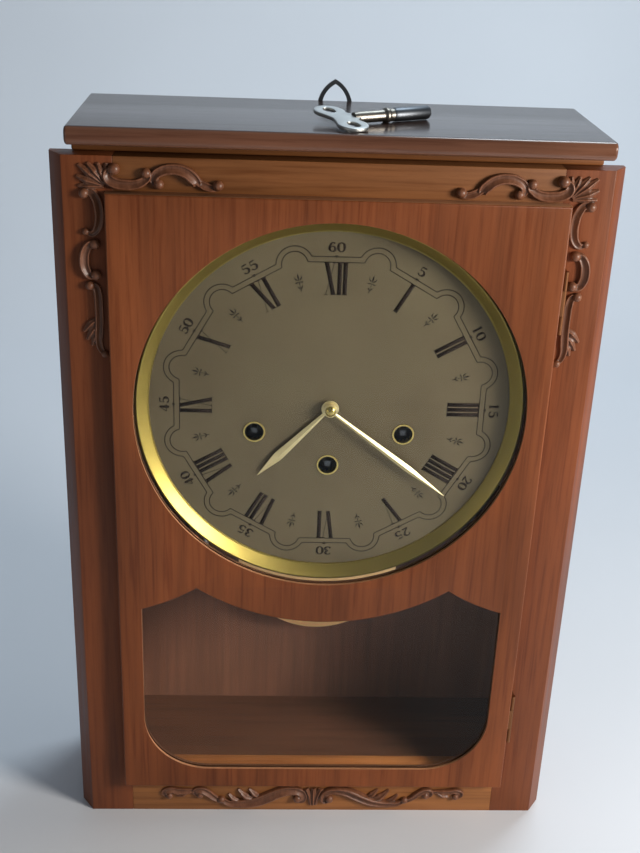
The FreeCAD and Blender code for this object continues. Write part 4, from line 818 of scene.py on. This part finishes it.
def border_line(flat, bulge):
    """A line round the dial: flat is the straight runs' distance, bulge the arcs' radius."""
    straight = flat * math.cos(math.radians(HOUR_ANGLE / 2)) - ARC_CENTRE
    reach = math.sqrt(bulge ** 2 - straight ** 2)
    sweep = math.atan2(reach, flat * BORDER_EASE - ARC_CENTRE)
    points = []
    for hour in range(len(HOURS)):
        middle = math.radians(HOUR_ANGLE * (hour + 0.5))
        for part in range(-ARC_PARTS, ARC_PARTS + 1):
            turn = part / ARC_PARTS * sweep
            across, out = bulge * math.sin(turn), ARC_CENTRE + bulge * math.cos(turn)
            points.append((out * math.sin(middle) + across * math.cos(middle),
                           out * math.cos(middle) - across * math.sin(middle)))
    return strap(points, (BORDER_HALF,) * len(points), ink_section, curved=False, closed=True)


def print_on_dial(marks, name, turn=0.0):
    """Flatten marks to one ink film and set them on the dial."""
    film = joined(marks, name)
    for vertex in film.data.vertices:
        vertex.co.z = INK_RISE if vertex.co.z > 1e-5 else 0.0
    clean(film)
    stand_up(film, y=y_dial, z=z_dial, clock_turn=turn)
    return film


dial_low, dial_high = millimetres("dial_plate")
y_dial, z_dial = dial_low.y, (dial_low.z + dial_high.z) / 2
hour_films, minute_films, sprig_films = [], [], []
for hour, word in enumerate(HOURS):
    turn = HOUR_ANGLE * hour
    hour_films.append(print_on_dial(hour_marks(word), f"hour_{word}", turn))
    minute = str(hour * 5 or 60)
    minutes = [*minute_marks(minute), pen(*POINTER, ends=POINTER_HALVES)]
    minute_films.append(print_on_dial(minutes, f"minute_{minute}", turn))
    sprig_films.append(print_on_dial(sprig_marks(), f"sprig_{hour}", turn + HOUR_ANGLE / 2))
prints = {"hour_numerals": hour_films, "minute_figures": minute_films, "half_hour_sprigs": sprig_films}
borders = [border_line(flat, bulge) for flat, bulge in BORDER_LINES]
for name, films in prints.items():
    fit(joined(films, name), "case", ink)
fit(print_on_dial(borders, "dial_border"), "case", ink)

# %% [markdown]
# ## The dial ring
# The polished ring is spun from sheet: a thin foot, an upright wall, a rolled crest, a face that slopes
# in towards the dial, and a fine bead where it meets the print. Its profile is spun round the dial's axis.

# %% Spin the dial ring
RING_FOOT = [(0.0, 0.0), (0.0, 0.8), (0.2, 1.0), (1.5, 1.0), (1.7, 1.2)]
RING_BEAD = [(9.15, 0.98), (9.35, 0.98), (9.6, 0.9), (9.85, 0.6), (10.0, 0.0)]
ROLL_CENTRE, ROLL_RADIUS, ROLL_TURN, ROLL_STEPS = (2.7, 6.0), 1.0, 135.0, 9
SPIN_STEPS = 180


def rolled_crest():
    """Points over the crest, from the upright wall round to the sloping face."""
    inward, rise = ROLL_CENTRE
    turns = [math.radians(ROLL_TURN * part / ROLL_STEPS) for part in range(ROLL_STEPS + 1)]
    return [(inward - ROLL_RADIUS * math.cos(turn), rise + ROLL_RADIUS * math.sin(turn)) for turn in turns]


def turned_piece(profile, steps=40):
    """Spin a profile of (along x, radius) points round the x axis."""
    bpy.ops.mesh.primitive_circle_add(vertices=len(profile), radius=1)
    piece = bpy.context.object
    for vertex, (x, radius) in zip(piece.data.vertices, profile):
        vertex.co = (x, radius, 0)
    bpy.ops.object.mode_set(mode="EDIT")
    bpy.ops.mesh.select_all(action="SELECT")
    bpy.ops.mesh.spin(steps=steps, angle=math.tau, center=(0, 0, 0), axis=(1, 0, 0))
    bpy.ops.object.mode_set(mode="OBJECT")
    clean(piece)
    return piece


ring_low, ring_high = millimetres("dial_ring")
ring_radius = (ring_high.x - ring_low.x) / 2
ring_profile = RING_FOOT + rolled_crest() + RING_BEAD
ring = turned_piece([(rise, ring_radius - inward) for inward, rise in ring_profile], SPIN_STEPS)
ring.name = ring.data.name = "dial_ring_spun"
ring_spot = Matrix.Translation(Vector((0, ring_high.y, z_dial)) * MM)
settle(ring, ring_spot @ turned(-90, "Z") @ Matrix.Scale(MM, 4))
smooth(ring, 30)
fit(ring, "case", ring_brass, ["dial_ring"])

# %% [markdown]
# ## The hands
# The hands are pressed from brass sheet and filed to a ridge, so each blade has two facets that take
# the light in turn. A blade is a strap with a roof-shaped section that widens evenly from the boss to
# its shoulder and then tapers to the tip. The boss is a disc with eased edges under the nut, which
# stays the CAD model's own.

# %% File the hands
HANDS = {
    "minute": {"reach": 97.4, "widest": 2.3, "shoulder": 64.5, "boss_radius": 4.4, "turn": 127.6},
    "hour": {"reach": 65.9, "widest": 3.1, "shoulder": 46.0, "boss_radius": 5.6, "turn": 223.5},
}
HAND_THICKNESS, HAND_ROOT, HAND_TIP = 0.8, 1.0, 0.09
BOSS_EASE = 0.22
roof_section = cross_section("roof_section", [(-1, 0), (-0.98, 0.1), (0, 0.56), (0.98, 0.1), (1, 0)])


def boss(radius):
    bpy.ops.mesh.primitive_cylinder_add(vertices=64, radius=radius, depth=HAND_THICKNESS,
                                        location=(0, 0, HAND_THICKNESS / 2))
    disc = bpy.context.object
    work(disc, "BEVEL", width=BOSS_EASE, segments=3, limit_method="ANGLE", angle_limit=SHARP_EDGE)
    return disc


def file_hand(kind, reach, widest, shoulder, boss_radius, turn):
    """A blade and its boss, set where the CAD hand is, on the body of the same kind."""
    along = [boss_radius * 0.6, shoulder * 0.5, shoulder * 0.94, shoulder, shoulder * 1.05, reach]
    halves = [HAND_ROOT, (HAND_ROOT + widest) / 2, widest * 0.97, widest, widest * 0.96, HAND_TIP]
    blade = strap([(0, r) for r in along], halves, roof_section, curved=False)
    piece = joined([blade, boss(boss_radius)], f"{kind}_hand_filed")
    clean(piece)
    back = millimetres(f"{kind}_hand")[1].y
    stand_up(piece, y=back, z=z_dial, clock_turn=turn)
    smooth(piece, 25)
    fit(piece, kind, hand_brass, [f"{kind}_hand"])


for kind, sizes in HANDS.items():
    file_hand(kind, **sizes)

# %% [markdown]
# ## The winding key
# The key lies on the cap. Its nickel handle is stamped from plate, a butterfly with two oval holes,
# and brazed to a turned shank. The socket that takes the winding square is a darker steel tube. The
# handle is a filled outline with rounded edges, and the shank and the socket are spun from profiles.
# The socket and one wing rest on the cap, so the handle leans a little.

# %% Make the key
KEY_SPAN, KEY_PLATE, KEY_SOCKET_RADIUS = 45.0, 2.4, 4.1
KEY_TURN, KEY_ASIDE, KEY_BACK = 29.4, -1.0, 11.5
HANDLE_THICKNESS, HANDLE_EDGE = 2.2, 0.5
HOLE_INWARD, HOLE_OUT, HOLE_ALONG, HOLE_ACROSS = 0.4, 13.6, 3.3, 4.9
HALF_HANDLE = [(12.5, 3.0), (8.8, 6.4), (9.6, 13.0), (6.4, 20.0), (0.2, 22.3), (-6.0, 20.0), (-9.0, 13.4),
               (-7.0, 6.0)]
HANDLE_BACK = (-5.6, 0.0)
SHANK_PROFILE = [(9, 0), (9, 3.0), (11, 3.3), (13, 3.5), (29, 3.5), (30, 3.7), (30.6, 4.3), (32, 4.6),
                 (33.4, 4.3), (34, 3.8), (36.5, 3.8), (36.5, 0)]
SOCKET_PROFILE = [(36.2, 0), (36.2, 3.4), (37.2, 3.9), (38.4, 4.1), (61.6, 4.1), (62.4, 3.7), (62.5, 2.7),
                  (46, 2.6), (45.5, 0)]


def outline_plate(outline, holes, thick, edge):
    """A flat plate from a smooth closed outline with oval holes, its edges rounded."""
    pick(scroll_section)
    bpy.ops.curve.primitive_bezier_circle_add()
    drawn = bpy.context.object
    curve = drawn.data
    curve.splines.clear()
    for points in (outline, *holes):
        spline = curve.splines.new("BEZIER")
        spline.bezier_points.add(len(points) - 1)
        for knot, (x, y) in zip(spline.bezier_points, points):
            knot.co = (x, y, 0)
            knot.handle_left_type = knot.handle_right_type = "AUTO"
        spline.use_cyclic_u = True
    curve.dimensions, curve.fill_mode, curve.resolution_u = "2D", "BOTH", 8
    curve.extrude, curve.bevel_depth, curve.bevel_resolution = thick / 2 - edge, edge, 2
    curve.offset = -edge
    pick(drawn)
    bpy.ops.object.convert(target="MESH")
    return bpy.context.object


def oval(x, y, along, across):
    return [(x + along, y), (x, y + across), (x - along, y), (x, y - across)]


whole_handle = [*HALF_HANDLE, HANDLE_BACK, *[(x, -y) for x, y in reversed(HALF_HANDLE)]]
holes = [oval(HOLE_INWARD, sign * HOLE_OUT, HOLE_ALONG, HOLE_ACROSS) for sign in (-1, 1)]
handle = outline_plate(whole_handle, holes, HANDLE_THICKNESS, HANDLE_EDGE)
shank = turned_piece(SHANK_PROFILE)
socket = turned_piece(SOCKET_PROFILE)
lean = math.asin((KEY_SOCKET_RADIUS - KEY_PLATE / 2) / (KEY_SPAN / 2))
key_rest = millimetres("winding_key")[0].z
key_middle = Vector((KEY_ASIDE, y_frame_face + KEY_BACK, key_rest + KEY_SOCKET_RADIUS))
key_turns = turned(KEY_TURN, "Z") @ Matrix.Rotation(lean, 4, "X")
key_place = Matrix.Translation(key_middle * MM) @ key_turns @ Matrix.Scale(MM, 4)
for piece, part in ((handle, "handle"), (shank, "shank"), (socket, "socket")):
    piece.name = piece.data.name = f"winding_key_{part}"
    clean(piece)
    settle(piece, key_place)
    smooth(piece)
fit(handle, "winding_key", nickel, ["winding_key"])
fit(shank, "winding_key", dull_nickel, ())
fit(socket, "winding_key", dark_steel_and_hole_shade, ())

# %% [markdown]
# ## Clear the bench
# The cross sections were only tools, so they go.

# %% Put the tools away
for section in (scroll_section, leaf_section, ink_section, roof_section):
    bpy.data.objects.remove(section)
print("bench cleared")

# %% [markdown]
# ## Floor, light and view
# The clock stands on a plain pale floor that sweeps up behind it, as in a small studio. A soft warm lamp
# stands to the right, in front and above, as the light falls in the photograph, a weaker one fills the
# left, and a cool one lights the sweep behind. The world adds an even pale light.

# %% Floor
SWEEP_WIDTH, SWEEP_FRONT, SWEEP_BACK, SWEEP_HEIGHT, SWEEP_ROUND = 6.0, -3.0, 1.5, 3.0, 0.7
bpy.ops.object.select_all(action="DESELECT")
bpy.ops.mesh.primitive_plane_add(size=1)
sweep = bpy.context.object
sweep.name = "studio_sweep"
bpy.ops.object.mode_set(mode="EDIT")
bpy.ops.transform.resize(value=(SWEEP_WIDTH, SWEEP_BACK - SWEEP_FRONT, 1), center_override=(0, 0, 0))
bpy.ops.transform.translate(value=(0, (SWEEP_BACK + SWEEP_FRONT) / 2, 0))
bpy.ops.object.mode_set(mode="OBJECT")
for edge in sweep.data.edges:
    edge.select = all(sweep.data.vertices[i].co.y > 0 for i in edge.vertices)
for vertex in sweep.data.vertices:
    vertex.select = vertex.co.y > 0
sweep.data.polygons[0].select = False
bpy.ops.object.mode_set(mode="EDIT")
bpy.ops.mesh.extrude_edges_move(TRANSFORM_OT_translate={"value": (0, 0, SWEEP_HEIGHT)})
bpy.ops.object.mode_set(mode="OBJECT")
work(sweep, "BEVEL", width=SWEEP_ROUND, segments=24, limit_method="ANGLE", angle_limit=SHARP_EDGE)
smooth(sweep, 60)


def pale_floor():
    finish, tree, shader = new_finish("pale_floor")
    cloud = noise(tree, stretched(tree, (1, 1, 1)), 1.5, detail=3)
    pale = ramp(tree, cloud, (0.3, (0.6, 0.625, 0.67)), (0.7, (0.64, 0.665, 0.71)))
    tree.links.new(pale, shader.inputs["Base Color"])
    shader.inputs["Roughness"].default_value = 0.7
    return finish


sweep.data.materials.append(pale_floor())
print("floor sweeps up at", SWEEP_BACK, "m behind the clock")

# %% Lamps and world
CLOCK_MIDDLE, BACKDROP_MIDDLE = Vector((0, 0, 0.27)), Vector((-0.2, 1.5, 0.5))


def lamp(name, place, size, power, colour, target=CLOCK_MIDDLE):
    bpy.ops.object.light_add(type="AREA", location=place)
    light = bpy.context.object
    light.name = name
    light.data.shape, light.data.size = "DISK", size
    light.data.energy, light.data.color = power, colour
    towards = target - Vector(place)
    light.rotation_euler = towards.to_track_quat("-Z", "Y").to_euler()
    print(name, "at", place)


lamp("key_lamp", (0.79, -0.56, 0.57), 0.32, 12.5, (1.0, 0.94, 0.86))
lamp("fill_lamp", (-1.3, -1.4, 0.4), 0.9, 1.6, (1.0, 0.95, 0.9))
lamp("backdrop_lamp", (0.6, 0.7, 2.0), 0.8, 27.0, (0.8, 0.92, 1.0), BACKDROP_MIDDLE)
world = bpy.data.worlds.new("pale_room")
bpy.context.scene.world = world
world.use_nodes = True
room = world.node_tree.nodes["Background"]
room.inputs["Color"].default_value = (0.8, 0.87, 0.95, 1.0)
room.inputs["Strength"].default_value = 0.16
bpy.context.scene.view_settings.view_transform = "Standard"
